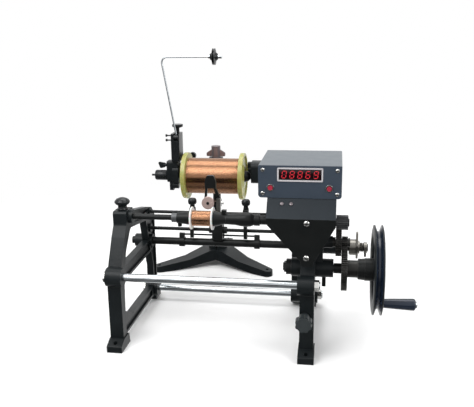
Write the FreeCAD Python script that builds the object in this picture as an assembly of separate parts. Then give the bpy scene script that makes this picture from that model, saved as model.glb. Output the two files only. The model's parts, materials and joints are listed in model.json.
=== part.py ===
"""Hand-cranked wire coil winding machine with a turn counter, and its free-standing wire stand.

Millimetres, +X to the crank side, +Y to the rear, +Z up. The origin lies on the bench, at the centre
of the four foot bolts. The winding machine stands over the origin and the wire stand behind it.
"""

import FreeCAD, Part
import math
import os

Vector = FreeCAD.Vector

# Clearances
running_gap = 0.05          # radial, shaft in its bearing
fixed_gap = 0.1             # radial, rod or screw clamped in its hole
slide_gap = 0.3             # between faces that slide past each other

# Cast stands: the left and the right one share this side profile
stand_pitch = 290.0         # between the centre planes of the two stands
stand_x = stand_pitch / 2   # centre plane of the right stand
leg_width = 21.0            # front leg, along X
rail_width = 12.0           # rails and rear plate, over their edge ribs
web_width = 6.0             # rails, between their edge ribs
rib = 4.0                   # edge rib of a rail
foot_width = 24.0
heel_width = 16.0
toe_height = 10.0
foot_front = -120.0
foot_rear = 120.0
leg_front = -104.0
leg_depth = 16.0            # lower leg, front to rear
rear_face = 108.0
rear_plate_bottom = 22.0    # depth of the rear plate at its foot, front to rear
rear_plate_top = 58.0       # depth of the rear plate under the top rail
top_height = 207.0
shoulder_z = top_height - 47.0      # where the rear plate starts to slope
rear_top_z = top_height - 32.0
brace_low = top_height - 109.0
brace_high = top_height - 86.0
floor_rail_low = 12.0
floor_rail_high = 31.0
bolt_hole_radius = 3.25
bolt_inset = 7.0            # foot end to bolt centre
spot_face_radius = 7.0

# Tie rods between the stands
tie_rod_radius = 6.0
front_rod_y = -100.0
front_rod_z = top_height - 91.0
front_boss_radius = 14.5
front_boss_inner = 14.0     # from the stand's centre plane towards the other stand
left_boss_outer = 11.0
right_boss_outer = 10.5
rear_rod_y = 97.0
rear_rod_z = 21.5
rear_boss_radius = 15.5
rear_boss_outer = 10.5
left_rear_boss_inner = 12.0
right_rear_boss_inner = 36.0
rear_flange_left = stand_x - 36.0
tie_nut_flats = 15.0
tie_nut_length = 7.0

# Spindle line
spindle_y = -44.0
spindle_z = top_height - 11.0
quill_radius = 4.3
quill_left = -stand_x - 11.0
quill_right = -66.0
spindle_radius = 7.0
arbor_radius = 3.0
housing_radius = 12.0
housing_left = stand_x - 25.0
housing_right = stand_x + 38.0
housing_nose_radius = 11.0
housing_nose = 9.5

# Bobbin being wound
bobbin_left = -36.0
bobbin_length = 35.0
bobbin_flange_radius = 17.5
bobbin_flange = 2.2
bobbin_barrel_radius = 8.0
bobbin_copper_radius = 12.0
right_cone_length = 20.0
cone_screw_radius = 2.0
chuck_length = 43.0

# Gear train: crank gear, idler pinion and idler gear, spindle pinion
gear_module = 1.0
crank_teeth = 64
idler_pinion_teeth = 16
idler_gear_teeth = 40
spindle_teeth = 20
tooth_backlash = 0.2
gear_face = 8.6
inner_gear_left = stand_x + 39.4
gear_spacing = 0.6
idler_stud_radius = 4.0
idler_stud_root = stand_x + 27.0
crank_offset_y = 8.0        # crank axis in front of the spindle axis

# Crank shaft and hand wheel
crank_shaft_radius = 6.0
crank_boss_radius = 14.0
crank_boss_left = stand_x - 25.7
crank_boss_right = stand_x + 37.0
crank_nut_left = stand_x - 37.0
crank_collar_left = stand_x - 33.5
crank_collar_radius = 12.0
gear_hub_radius = 13.0
boss_screw_x = stand_x + 23.0
boss_screw_radius = 3.0
gear_hub_right = stand_x + 73.0
wheel_hub_radius = 17.0
wheel_hub_left = stand_x + 83.0
wheel_left = stand_x + 93.8
wheel_width = 15.4
wheel_radius = 66.8
groove_depth = 9.0
groove_bottom = 3.0
rim_tip = 1.8
rim_inner_radius = 47.0
wheel_web = 6.0
web_hole_inner = 23.0
web_hole_outer = 42.0
web_holes = 4
handle_radius = 53.0        # crank throw
handle_pin_radius = 3.5
grip_length = 50.0
grip_root_radius = 6.8
grip_end_radius = 9.0

# Rods of the wire guide, behind the spindle
guide_y = 80.0
stop_rod_z = top_height - 37.0
stop_rod_radius = 2.8
guide_rod_z = top_height - 67.0
guide_rod_radius = 3.0
shift_rail_z = top_height - 90.0
shift_rail_radius = 6.5
shift_rail_left = -stand_x - 27.0
shift_rail_right = stand_x + 93.5
trip_rod_z = shift_rail_z + 13.5
trip_rod_radius = 1.5
trip_left = -82.0
trip_right = 50.5
trip_bracket = 9.0
trip_cap = 2.5
trip_gap = trip_cap + 1.5
left_rail_boss_radius = 11.5
left_rail_boss_outer = 21.0
right_rail_boss_radius = 12.5
right_rail_boss_outer = 41.0

# Release at the right end of the shift rail
rail_hub_left = stand_x + 61.5
rail_hub_right = stand_x + 78.0
rail_hub_radius = 13.5
lever_low = stand_x + 73.3
lever_high = stand_x + 77.0
rail_nut_left = stand_x + 86.6
rail_nut_width = 5.4
rail_spring_radius = 7.85
rail_spring_turns = 3
rail_spring_wire = 1.3

# Wire guide carriage and its forked arm
carriage_x = -17.5
carriage_width = 18.0
carriage_depth = 22.0
guide_pulley_radius = 11.0
guide_pulley_width = 5.0
guide_pulley_x = -36.6
guide_pulley_z = spindle_z - 11.1
guide_pulley_bore = 1.5
fork_front = 94.0
fork_rear = 100.0
fork_x = -32.6
fork_head_low = top_height + 3.2
fork_head_high = top_height + 25.7
fork_shoulder = 12.0        # above the head's lower edge
fork_head_width = 19.2
fork_leg = 3.8
fork_foot_z = spindle_z - 18.0
fork_tie = 4.0              # height of the strip that holds the pulley's axle

# Travel stops
left_stop_x = -62.0
right_stop_x = 31.5
stop_width = 9.0
stop_knob_radius = 7.5

# Turn counter and its bent sheet bracket
counter_left = stand_x - 72.0
counter_width = 118.0
counter_front = -87.0
counter_depth = 125.0
counter_bottom = top_height + 35.0
counter_height = 47.0
case_wall = 2.0
corner_low = 4.5            # radius of the case's lower corners
corner_high = 1.5
panel_thickness = 3.0
window_left = 29.4          # from the panel's left edge
window_width = 60.0
window_height = 15.4
window_top = 5.0            # from the panel's top edge
button_radius = 3.4
bezel_radius = 5.2
bezel_height = 1.2
button_height = 15.0        # above the panel's bottom edge
button_inset = 17.5
panel_screw_inset = 6.5
sheet = 2.0
bracket_left = stand_x - 59.0
bracket_width = 98.0
bracket_front = -108.0
bracket_bend_z = top_height + 10.0
bracket_tip_z = top_height - 60.0
bracket_tip_width = 20.0
bracket_screw_radius = 2.5
bracket_pad_radius = 5.5
sensor_x = stand_x - 31.0
sensor_screw_z = counter_bottom - 7.0
sensor_screw_radius = 1.5
button_travel = 1.5

magnet_collar_left = stand_x - 37.0
magnet_collar_width = 10.0

# Knobs of the machine
tail_knob_radius = 12.0
tail_knob_neck = 7.0
tail_stud_radius = 4.0
leg_knob_radius = 12.5
leg_knob_lobes = 8
leg_knob_z = 67.0
leg_stud_radius = 4.0

# Wire stand behind the machine
base_x = -60.0
base_y = 300.0
arm_reach = 128.0           # base boss axis to the centre of an arm's rounded tip
arm_tip_radius = 11.0
arm_root_half = 23.0
arm_tip_height = 11.0
arm_root_height = 35.0
arm_middle_height = 21.0
base_boss_radius = 19.5
base_boss_top = 50.0
post_radius = 8.0
post_top = 236.0
post_nut_radius = 9.2
post_nut_low = 222.3
post_nut_high = 250.0
axle_y = 230.0
axle_z = 203.0
axle_radius = 5.0

# Yoke that carries the supply spool
yoke_hub_radius = 14.0
yoke_hub_low = 184.0
yoke_hub_high = 222.0
yoke_bar_y = 290.0
yoke_bar_radius = 8.0
yoke_left = -131.5
yoke_left_arm = 12.0
yoke_right = 22.0
yoke_right_arm = 18.0
clamp_left = -142.5         # boss and lug on the outer side of the left arm
clamp_screw_z = 223.0

# Supply spool
spool_left = -109.0
spool_length = 118.0
spool_flange_radius = 45.0
spool_flange = 8.5
spool_barrel_radius = 22.0
spool_bore_radius = 8.0
spool_copper_radius = 34.6

# Wire tensioner and its sprung arm
tension_left = -131.5
tension_width = 16.5
tension_front = 214.0
tension_depth = 33.0
tension_bottom = 233.0
tension_height = 53.0
tension_stud_radius = 2.5
arm_rod_radius = 1.7
arm_y = 219.0
arm_base_x = -120.5
arm_pivot_z = 279.0
arm_pivot_radius = 1.5
arm_hub_radius = 4.5
arm_slot_left = -126.0
arm_slot_right = -117.0
arm_bend_x = -145.5
arm_top_z = 429.0
arm_bend_radius = 10.0
arm_pulley_left = -52.0
arm_pulley_radius = 15.0
arm_pulley_width = 15.0

# Windings: the outer layer, over a plain core
supply_turns = 24
supply_wire = 3.4
bobbin_turns = 12
bobbin_wire = 1.8
wire_sides = 4

# Values that follow from those above
leg_rear = leg_front + leg_depth
crank_y = spindle_y - crank_offset_y
spindle_to_idler = gear_module * (spindle_teeth + idler_gear_teeth) / 2
idler_to_crank = gear_module * (idler_pinion_teeth + crank_teeth) / 2
spindle_to_crank = spindle_to_idler + idler_to_crank
crank_z = spindle_z - math.sqrt(spindle_to_crank ** 2 - crank_offset_y ** 2)
idler_y = spindle_y - crank_offset_y * spindle_to_idler / spindle_to_crank
idler_z = spindle_z - (spindle_z - crank_z) * spindle_to_idler / spindle_to_crank
up_the_train = math.atan2(spindle_z - crank_z, spindle_y - crank_y)
outer_gear_left = inner_gear_left + gear_face + gear_spacing
right_cone_left = bobbin_left + bobbin_length
chuck_left = right_cone_left + right_cone_length
cone_screw_x = chuck_left - 3.5
wheel_right = wheel_left + wheel_width
wheel_middle = wheel_left + wheel_width / 2
grip_left = wheel_right + slide_gap
grip_right = grip_left + grip_length
handle_z = crank_z - handle_radius
counter_right = counter_left + counter_width
counter_top = counter_bottom + counter_height
counter_rear = counter_front + counter_depth
bracket_right = bracket_left + bracket_width
bracket_screw_x = stand_x - 1.5
bracket_screw_z = (top_height + 4.0, top_height - 47.0)
shelf_front = counter_front + 1.0
band_rise = math.hypot(shelf_front - bracket_front, counter_bottom - bracket_bend_z)
band_thick = sheet * band_rise / (counter_bottom - bracket_bend_z)     # measured along Y
band_out = Vector(0, bracket_bend_z - counter_bottom, shelf_front - bracket_front).normalize()
button_centres = (
    (counter_left + button_inset, counter_bottom + button_height),
    (counter_right - button_inset, counter_bottom + button_height),
)


def rod_x(y, z, radius, low, high):
    return Part.makeCylinder(radius, high - low, Vector(low, y, z), Vector(1, 0, 0))


def rod_y(x, z, radius, low, high):
    return Part.makeCylinder(radius, high - low, Vector(x, low, z), Vector(0, 1, 0))


def rod_z(x, y, radius, low, high):
    return Part.makeCylinder(radius, high - low, Vector(x, y, low), Vector(0, 0, 1))


def block(low, high):
    size = [b - a for a, b in zip(low, high)]
    return Part.makeBox(size[0], size[1], size[2], Vector(*low))


def rounded_wire(corners):
    """Closed wire through (point, radius) corners, with an arc at each corner that has a radius."""
    starts = []
    ends = []
    middles = []
    count = len(corners)
    for index, (point, radius) in enumerate(corners):
        before = corners[index - 1][0]
        after = corners[(index + 1) % count][0]
        to_before = (before - point).normalize()
        to_after = (after - point).normalize()
        half = to_before.getAngle(to_after) / 2
        reach = radius / math.tan(half)
        starts.append(point + to_before * reach)
        ends.append(point + to_after * reach)
        inward = (to_before + to_after).normalize()
        middles.append(point + inward * (radius / math.sin(half) - radius))
    edges = []
    for index, (point, radius) in enumerate(corners):
        if radius:
            edges.append(Part.Arc(starts[index], middles[index], ends[index]).toShape())
        following = starts[(index + 1) % count]
        if (following - ends[index]).Length > 1e-6:
            edges.append(Part.LineSegment(ends[index], following).toShape())
    return Part.Wire(edges)


def plate_x(outline, low, high):
    """Plate with its (y, z, corner radius) outline, between two X planes."""
    corners = [(Vector(low, y, z), radius) for y, z, radius in outline]
    return Part.Face(rounded_wire(corners)).extrude(Vector(high - low, 0, 0))


def plate_y(outline, low, high):
    """Plate with its (x, z, corner radius) outline, between two Y planes."""
    corners = [(Vector(x, low, z), radius) for x, z, radius in outline]
    return Part.Face(rounded_wire(corners)).extrude(Vector(0, high - low, 0))


def plate_z(outline, low, high):
    """Plate with its (x, y, corner radius) outline, between two Z planes."""
    corners = [(Vector(x, y, low), radius) for x, y, radius in outline]
    return Part.Face(rounded_wire(corners)).extrude(Vector(0, 0, high - low))


def turned_x(y, z, outline):
    """Body turned about the X line through (y, z), from its (x, radius) outline."""
    points = [Vector(x, y, z + radius) for x, radius in outline]
    face = Part.Face(Part.makePolygon(points + points[:1]))
    return face.revolve(Vector(0, y, z), Vector(1, 0, 0), 360)


def turned_z(x, y, outline):
    """Body turned about the Z line through (x, y), from its (radius, z) outline."""
    points = [Vector(x + radius, y, z) for radius, z in outline]
    face = Part.Face(Part.makePolygon(points + points[:1]))
    return face.revolve(Vector(x, y, 0), Vector(0, 0, 1), 360)


def prism(sides, centre, flats, axis, length):
    """Regular prism, such as a nut, with its width over flats."""
    radius = flats / 2 / math.cos(math.pi / sides)
    first = Vector(0, 0, 1) if abs(axis.z) < 0.5 else Vector(1, 0, 0)
    second = axis.cross(first)
    points = []
    for index in range(sides):
        angle = 2 * math.pi * (index + 0.5) / sides
        points.append(centre + first * (radius * math.cos(angle)) + second * (radius * math.sin(angle)))
    return Part.Face(Part.makePolygon(points + points[:1])).extrude(axis * length)


def fused(*solids):
    return solids[0].multiFuse(list(solids[1:])).removeSplitter()


def group(*solids):
    return Part.makeCompound(list(solids))


def inset(outline, distance):
    """Outline of straight (y, z) edges, moved inwards by a distance. Runs counter-clockwise."""
    moved = []
    count = len(outline)
    for index in range(count):
        y, z = outline[index]
        lines = []
        for start, end in ((outline[index - 1], outline[index]), (outline[index], outline[(index + 1) % count])):
            run = math.hypot(end[0] - start[0], end[1] - start[1])
            lines.append((-(end[1] - start[1]) / run, (end[0] - start[0]) / run))
        (a, b), (c, d) = lines
        spread = a * d - b * c
        moved.append((y + distance * (d - b) / spread, z + distance * (a - c) / spread))
    return moved


def span(side, inner, outer):
    """X range of a piece of the stand on one side, from its centre plane inwards and outwards."""
    centre = side * stand_x
    return sorted((centre - side * inner, centre + side * outer))


def i_member(side, outline, pocket_outline=None):
    """Rail of a cast stand: a thin web with a rib along each edge. The outline runs counter-clockwise."""
    low, high = span(side, rail_width / 2, rail_width / 2)
    solid = plate_x([(y, z, 0) for y, z in outline], low, high)
    pocket = [(y, z, rib * 0.7) for y, z in inset(pocket_outline or outline, rib)]
    depth = (rail_width - web_width) / 2
    return solid.cut([plate_x(pocket, low - 1, low + depth), plate_x(pocket, high - depth, high + 1)])


def stand_casting(side, boss_outer):
    """Front leg, top rail, middle brace, floor rail and rear plate of one side, in one casting."""
    leg = plate_x(
        [
            (leg_front, 0, 0),
            (leg_front, 100, 6),
            (leg_front + 8, top_height - 77, 12),
            (leg_front + 31, top_height - 37, 8),
            (leg_front + 43, top_height - 21, 6),
            (leg_front + 43, top_height - 3, 3),
            (leg_front + 46, top_height, 2),
            (spindle_y + 18, top_height, 4),
            (spindle_y + 20, top_height - 23, 3),
            (spindle_y - 2, top_height - 34, 6),
            (leg_rear + 18, top_height - 61, 16),
            (leg_rear + 3, 100, 10),
            (leg_rear, 60, 6),
            (leg_rear, 0, 0),
        ],
        *span(side, leg_width / 2, leg_width / 2),
    )
    toe = plate_x(
        [(foot_front, 0, 0), (foot_front, toe_height, 2), (leg_front - 1, toe_height + 7, 2),
         (leg_rear + 6, toe_height + 7, 2), (leg_rear + 10, 0, 0)],
        *span(side, foot_width / 2, foot_width / 2),
    )
    heel = plate_x(
        [(rear_rod_y - 6, 0, 0), (rear_rod_y - 6, rear_rod_z, 2), (rear_rod_y + 10, rear_rod_z, 2),
         (foot_rear - 12, toe_height, 2), (foot_rear, toe_height, 2), (foot_rear, 0, 0)],
        *span(side, heel_width / 2, heel_width / 2),
    )
    top_rail = i_member(side, [
        (spindle_y + 14, top_height - 34), (rear_face - 50, shoulder_z), (rear_face - 4, shoulder_z),
        (rear_face - 18, rear_top_z), (rear_face - 38, top_height - 26), (rear_face - 98, top_height - 14),
        (spindle_y + 14, top_height - 8),
    ], [
        (spindle_y + 18, top_height - 32), (rear_face - 50, shoulder_z), (rear_face - 22, shoulder_z),
        (rear_face - 22, rear_top_z + 3), (rear_face - 38, top_height - 26), (rear_face - 98, top_height - 14),
        (spindle_y + 18, top_height - 9),
    ])
    rear_plate = i_member(side, [
        (rear_face, rear_rod_z), (rear_face, shoulder_z), (rear_face - 16, rear_top_z),
        (rear_face - rear_plate_top, rear_top_z), (rear_face - 38, top_height - 95),
        (rear_face - rear_plate_bottom, 70), (rear_face - rear_plate_bottom, rear_rod_z),
    ])
    brace = i_member(side, [
        (leg_rear - 4, brace_low), (rear_face - 20, brace_low), (rear_face - 20, brace_high),
        (leg_rear - 4, brace_high),
    ])
    floor_rail = i_member(side, [
        (leg_rear - 4, floor_rail_low), (rear_rod_y, floor_rail_low), (rear_rod_y, floor_rail_high),
        (-40, floor_rail_high), (leg_rear + 2, 56), (leg_rear - 4, 56),
    ], [
        (leg_rear, floor_rail_low), (rear_rod_y - rear_boss_radius - 6, floor_rail_low),
        (rear_rod_y - rear_boss_radius - 6, floor_rail_high), (leg_rear, floor_rail_high),
    ])
    front_boss = rod_x(front_rod_y, front_rod_z, front_boss_radius, *span(side, front_boss_inner, boss_outer))
    rear_inner = left_rear_boss_inner if side < 0 else right_rear_boss_inner
    rear_boss = rod_x(rear_rod_y, rear_rod_z, rear_boss_radius, *span(side, rear_inner, rear_boss_outer))
    rod_bosses = [
        rod_x(guide_y, z, radius + 4.5, *span(side, rail_width / 2 + 2, rail_width / 2))
        for z, radius in ((stop_rod_z, stop_rod_radius), (guide_rod_z, guide_rod_radius))
    ]
    return fused(leg, toe, heel, top_rail, rear_plate, brace, floor_rail, front_boss, rear_boss, *rod_bosses)


def stand_holes(side):
    """Holes that both stands have: foot bolts, tie rods, guide rods and the shift rail."""
    middle = side * stand_x
    reach = (middle - 60, middle + 60)
    front_bolt = foot_front + bolt_inset
    rear_bolt = foot_rear - bolt_inset
    return [
        rod_z(middle, front_bolt, bolt_hole_radius, -1, 20),
        rod_z(middle, rear_bolt, bolt_hole_radius, -1, 60),
        rod_z(middle, rear_bolt, spot_face_radius, toe_height + 2, 60),
        rod_x(front_rod_y, front_rod_z, tie_rod_radius + fixed_gap, *reach),
        rod_x(rear_rod_y, rear_rod_z, tie_rod_radius + fixed_gap, *reach),
        rod_x(guide_y, stop_rod_z, stop_rod_radius + fixed_gap, *reach),
        rod_x(guide_y, guide_rod_z, guide_rod_radius + fixed_gap, *reach),
        rod_x(guide_y, shift_rail_z, shift_rail_radius + running_gap, *reach),
        block((middle - 60, foot_front - 1, -60), (middle + 60, foot_rear + 20, 0)),
    ]


def left_stand():
    """Stand that carries the tail quill; its locking knob screws into the top."""
    side = -1
    casting = stand_casting(side, left_boss_outer)
    quill_boss = rod_x(spindle_y, spindle_z, 10.8, *span(side, 17, 11))
    rail_boss = rod_x(guide_y, shift_rail_z, left_rail_boss_radius, *span(side, 10, left_rail_boss_outer))
    casting = fused(casting, quill_boss, rail_boss)
    quill_hole = rod_x(spindle_y, spindle_z, quill_radius + running_gap, -stand_x - 35, -stand_x + 45)
    knob_hole = rod_z(-stand_x, spindle_y, tail_stud_radius + running_gap, spindle_z, top_height + 1)
    return casting.cut(stand_holes(side) + [quill_hole, knob_hole])


def right_stand():
    """Stand that carries the spindle housing, the crank bearing, the idler stud and the counter bracket."""
    side = 1
    casting = stand_casting(side, right_boss_outer)
    housing = rod_x(spindle_y, spindle_z, housing_radius, housing_left, housing_right - housing_nose)
    nose = rod_x(spindle_y, spindle_z, housing_nose_radius, housing_left, housing_right)
    bearing = rod_x(crank_y, crank_z, crank_boss_radius, crank_boss_left, crank_boss_right)
    idler_boss = rod_x(idler_y, idler_z, 9.0, stand_x + 3, idler_stud_root + 8)
    bridge = plate_x(
        [(crank_y - 9, crank_z, 0), (crank_y + 9, crank_z, 0), (spindle_y + 8, spindle_z, 0),
         (spindle_y - 8, spindle_z, 0)],
        stand_x + 5, stand_x + 21,
    )
    rail_boss = rod_x(guide_y, shift_rail_z, right_rail_boss_radius, *span(side, 10, right_rail_boss_outer))
    nose_front = bracket_front + sheet
    pads = [
        rod_y(bracket_screw_x, z, bracket_pad_radius, nose_front, rear)
        for z, rear in zip(bracket_screw_z, (spindle_y - 6, leg_front + 34))
    ]
    bracket_nose = plate_x(
        [(nose_front, top_height - 4, 2), (nose_front, top_height + 4, 0), (spindle_y - 6, top_height + 4, 0),
         (spindle_y - 6, top_height - 17, 0), (leg_front + 40, top_height - 21, 0)],
        bracket_screw_x - bracket_pad_radius, bracket_screw_x + bracket_pad_radius,
    )
    rear_flange = plate_y(
        [(rear_flange_left, 2, 5), (stand_x, 2, 0), (stand_x, top_height - 77, 0),
         (rear_flange_left, top_height - 110, 4)],
        rear_face - 9, rear_face,
    )
    stud_pad = rod_y(stand_x - 3, leg_knob_z, 8.0, leg_front - 3, leg_front + 6)
    casting = fused(
        casting, housing, nose, bearing, idler_boss, bridge, rail_boss, stud_pad, bracket_nose, rear_flange, *pads
    )
    holes = [
        rod_x(spindle_y, spindle_z, spindle_radius + running_gap, stand_x - 85, stand_x + 55),
        rod_x(crank_y, crank_z, crank_shaft_radius + running_gap, stand_x - 85, stand_x + 55),
        rod_x(idler_y, idler_z, idler_stud_radius + fixed_gap, idler_stud_root - 16, stand_x + 55),
        rod_z(boss_screw_x, crank_y, boss_screw_radius + fixed_gap, crank_z - 30, crank_z - 8),
        rod_y(stand_x - 3, leg_knob_z, leg_stud_radius + running_gap, leg_front - 10, leg_front + 12),
    ]
    for z in bracket_screw_z:
        holes.append(rod_y(bracket_screw_x, z, bracket_screw_radius + fixed_gap, bracket_front - 1, bracket_front + 14))
    return casting.cut(stand_holes(side) + holes)


def tie_rod(y, z, left_outer, right_outer):
    low = -stand_x - left_outer - tie_nut_length + 1
    high = stand_x + right_outer + tie_nut_length + 1.5
    return rod_x(y, z, tie_rod_radius, low, high)


def tie_rods():
    """The two bright rods that hold the stands apart."""
    return group(
        tie_rod(front_rod_y, front_rod_z, left_boss_outer, right_boss_outer),
        tie_rod(rear_rod_y, rear_rod_z, rear_boss_outer, rear_boss_outer),
    )


def nut_x(y, z, flats, low, high, bore):
    body = prism(6, Vector(low, y, z), flats, Vector(1, 0, 0), high - low)
    return body.cut(rod_x(y, z, bore, low - 1, high + 1))


def tie_rod_nuts():
    """Four hexagon nuts, one at each end of the two tie rods."""
    nuts = []
    for y, z, left_outer, right_outer in (
        (front_rod_y, front_rod_z, left_boss_outer, right_boss_outer),
        (rear_rod_y, rear_rod_z, rear_boss_outer, rear_boss_outer),
    ):
        left = -stand_x - left_outer
        right = stand_x + right_outer
        bore = tie_rod_radius + fixed_gap
        nuts.append(nut_x(y, z, tie_nut_flats, left - tie_nut_length + 1.5, left, bore))
        nuts.append(nut_x(y, z, tie_nut_flats, right, right + tie_nut_length, bore))
    return group(*nuts)


def tail_quill():
    """Sliding quill of the tailstock, with the collar that the live cone turns against."""
    shaft = rod_x(spindle_y, spindle_z, quill_radius, quill_left, quill_right + 8)
    collar = rod_x(spindle_y, spindle_z, 7.2, quill_right, quill_right + 8)
    nose = rod_x(spindle_y, spindle_z, quill_radius - 0.8, quill_right + 8, bobbin_left - 6)
    return fused(shaft, collar, nose)


def left_cone():
    """Live centre cone, free to turn on the quill's nose, with a lobe for its set screw."""
    low = quill_right + 8 + slide_gap
    lobe = rod_z(low + 3.5, spindle_y, 3.2, spindle_z - 13.5, spindle_z)
    body = turned_x(spindle_y, spindle_z, [
        (low, 0), (low, 8.5), (low + 4, 8.5), (bobbin_left - 5, 10.3), (bobbin_left - running_gap, 10.3),
        (bobbin_left - running_gap, 0),
    ])
    bore = rod_x(spindle_y, spindle_z, quill_radius - 0.8 + running_gap, low - 1, bobbin_left - 5)
    return fused(body, lobe).cut(bore)


def tail_lock_knob():
    """Mushroom knob that clamps the quill."""
    x = -stand_x
    neck = top_height + slide_gap
    cap = neck + 7
    outline = [
        (0, spindle_z + quill_radius + slide_gap), (tail_stud_radius, spindle_z + quill_radius + slide_gap),
        (tail_stud_radius, neck), (tail_knob_neck + 1.5, neck), (tail_knob_neck, neck + 3),
        (tail_knob_neck, cap), (tail_knob_radius - 2, cap + 1.2), (tail_knob_radius, cap + 4),
        (tail_knob_radius, cap + 6), (tail_knob_radius - 3, cap + 9.5), (4, cap + 11.5), (0, cap + 11.8),
    ]
    return turned_z(x, spindle_y, outline)


def bobbin():
    """Small bobbin between the cones, clamped on the spindle's arbor."""
    left = bobbin_left
    right = bobbin_left + bobbin_length
    outline = [
        (left, arbor_radius + fixed_gap), (left, bobbin_flange_radius),
        (left + bobbin_flange, bobbin_flange_radius), (left + bobbin_flange, bobbin_barrel_radius),
        (right - bobbin_flange, bobbin_barrel_radius), (right - bobbin_flange, bobbin_flange_radius),
        (right, bobbin_flange_radius), (right, arbor_radius + fixed_gap),
    ]
    return turned_x(spindle_y, spindle_z, outline)


def arc_from(start, tangent, end):
    """Arc that leaves a start point along a tangent and ends at an end point."""
    chord = end - start
    along = Vector(chord).normalize()
    across = (tangent - along * tangent.dot(along)).normalize()
    angle = tangent.getAngle(along)
    middle = start + chord * 0.5 + across * (chord.Length / 2 * math.tan(angle / 2))
    return Part.Arc(start, middle, end)


def biarc(start, start_tangent, end, end_tangent):
    """Two arcs that join two points smoothly along the given tangents."""
    chord = end - start
    both = start_tangent + end_tangent
    a = 2 * (start_tangent.dot(end_tangent) - 1)
    b = -2 * chord.dot(both)
    c = chord.dot(chord)
    reach = (-b - math.sqrt(b * b - 4 * a * c)) / (2 * a)
    joint = (start + end + (start_tangent - end_tangent) * reach) * 0.5
    first = arc_from(start, start_tangent, joint)
    chord_back = arc_from(end, end_tangent * -1, joint)
    return [first.toShape(), chord_back.toShape()]


def wound_layer(y, z, radius, low, high, turns, wire, name):
    """Outer layer of a winding: one unbroken wire, wound at a steady pitch along X."""
    pitch = (high - low - wire) / turns
    slope = pitch / (2 * math.pi * radius)
    flat = 1 / math.sqrt(1 + slope * slope)

    def point(turn):
        angle = 2 * math.pi * turn
        return Vector(low + wire / 2 + pitch * turn, y - radius * math.sin(angle), z + radius * math.cos(angle))

    def tangent(turn):
        angle = 2 * math.pi * turn
        return Vector(slope * flat, -math.cos(angle) * flat, -math.sin(angle) * flat)

    edges = [Part.LineSegment(point(0) - tangent(0) * wire, point(0)).toShape()]
    for half in range(2 * turns):
        start = half / 2
        end = start + 0.5
        edges.extend(biarc(point(start), tangent(start), point(end), tangent(end)))
    edges.append(Part.LineSegment(point(turns), point(turns) + tangent(turns) * wire).toShape())
    path = Part.Wire(Part.__sortEdges__(edges))
    begin = point(0) - tangent(0) * wire
    side = tangent(0).cross(Vector(0, 0, 1)).normalize()
    up = side.cross(tangent(0))
    corners = []
    for index in range(wire_sides):
        angle = 2 * math.pi * index / wire_sides
        corners.append(begin + side * (wire / 2 * math.cos(angle)) + up * (wire / 2 * math.sin(angle)))
    section = Part.makePolygon(corners + corners[:1])
    tube = path.makePipeShell([section], True, False)
    print(name, "turns", turns, "least gap between turns", round(pitch * flat - wire, 2), "mm")
    return tube


def bobbin_winding():
    """Copper core with its outer layer of turns."""
    low = bobbin_left + bobbin_flange + fixed_gap
    high = bobbin_left + bobbin_length - bobbin_flange - fixed_gap
    core_radius = bobbin_copper_radius - bobbin_wire - fixed_gap
    core = rod_x(spindle_y, spindle_z, core_radius, low, high)
    core = core.cut(rod_x(spindle_y, spindle_z, bobbin_barrel_radius + fixed_gap, low - 1, high + 1))
    layer = wound_layer(
        spindle_y, spindle_z, bobbin_copper_radius - bobbin_wire / 2, low, high, bobbin_turns, bobbin_wire, "bobbin"
    )
    return group(core, layer)


def right_cone():
    """Cone that presses the bobbin's right flange."""
    right = chuck_left - fixed_gap
    outline = [
        (right_cone_left, arbor_radius + fixed_gap), (right_cone_left, 12), (right_cone_left + 2, 12),
        (right - 4, 8.2), (right, 8.2), (right, arbor_radius + fixed_gap),
    ]
    cone = turned_x(spindle_y, spindle_z, outline)
    return cone.cut(rod_z(cone_screw_x, spindle_y, cone_screw_radius + fixed_gap, spindle_z, spindle_z + 20))


def cone_set_screw():
    """Square-headed screw that locks the right cone on the arbor."""
    head_low = spindle_z + 9.4
    shank = rod_z(cone_screw_x, spindle_y, cone_screw_radius, spindle_z + arbor_radius + fixed_gap, head_low + 1)
    return fused(shank, prism(4, Vector(cone_screw_x, spindle_y, head_low), 7.0, Vector(0, 0, 1), 5.0))


def drive_chuck():
    """Pear-shaped sleeve that couples the arbor to the spindle."""
    outline = [
        (chuck_left, arbor_radius + fixed_gap), (chuck_left, 8.2), (chuck_left + 14, 8.8),
        (chuck_left + 22, 10.3), (chuck_left + 30, 11.2), (chuck_left + chuck_length - 6, 10.4),
        (chuck_left + chuck_length, 8.0),
        (chuck_left + chuck_length, arbor_radius + fixed_gap),
    ]
    return turned_x(spindle_y, spindle_z, outline)


def spindle_shaft():
    """Arbor through cone, chuck and bobbin, stepping up to the spindle that runs in the housing."""
    gear_end = outer_gear_left + gear_face
    low = chuck_left + chuck_length
    outline = [
        (bobbin_left + 2, 0), (bobbin_left + 2, arbor_radius), (low, arbor_radius), (low, 9.0),
        (low + 8, 9.0), (low + 8, spindle_radius), (housing_right + slide_gap, spindle_radius),
        (housing_right + slide_gap, spindle_radius - 1), (gear_end + 1.5, spindle_radius - 1), (gear_end + 1.5, 0),
    ]
    return turned_x(spindle_y, spindle_z, outline)


def magnet_collar():
    """Collar on the spindle with the small magnet that the counter's sensor reads."""
    gap = fixed_gap
    low = magnet_collar_left
    high = magnet_collar_left + magnet_collar_width
    outline = [(low, spindle_radius + gap), (low, 10.5), (high, 10.5), (high, spindle_radius + gap)]
    collar = turned_x(spindle_y, spindle_z, outline)
    magnet = rod_z((low + high) / 2, spindle_y, 2.5, spindle_z + 8, spindle_z + 11.2)
    return fused(collar, magnet)


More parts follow.
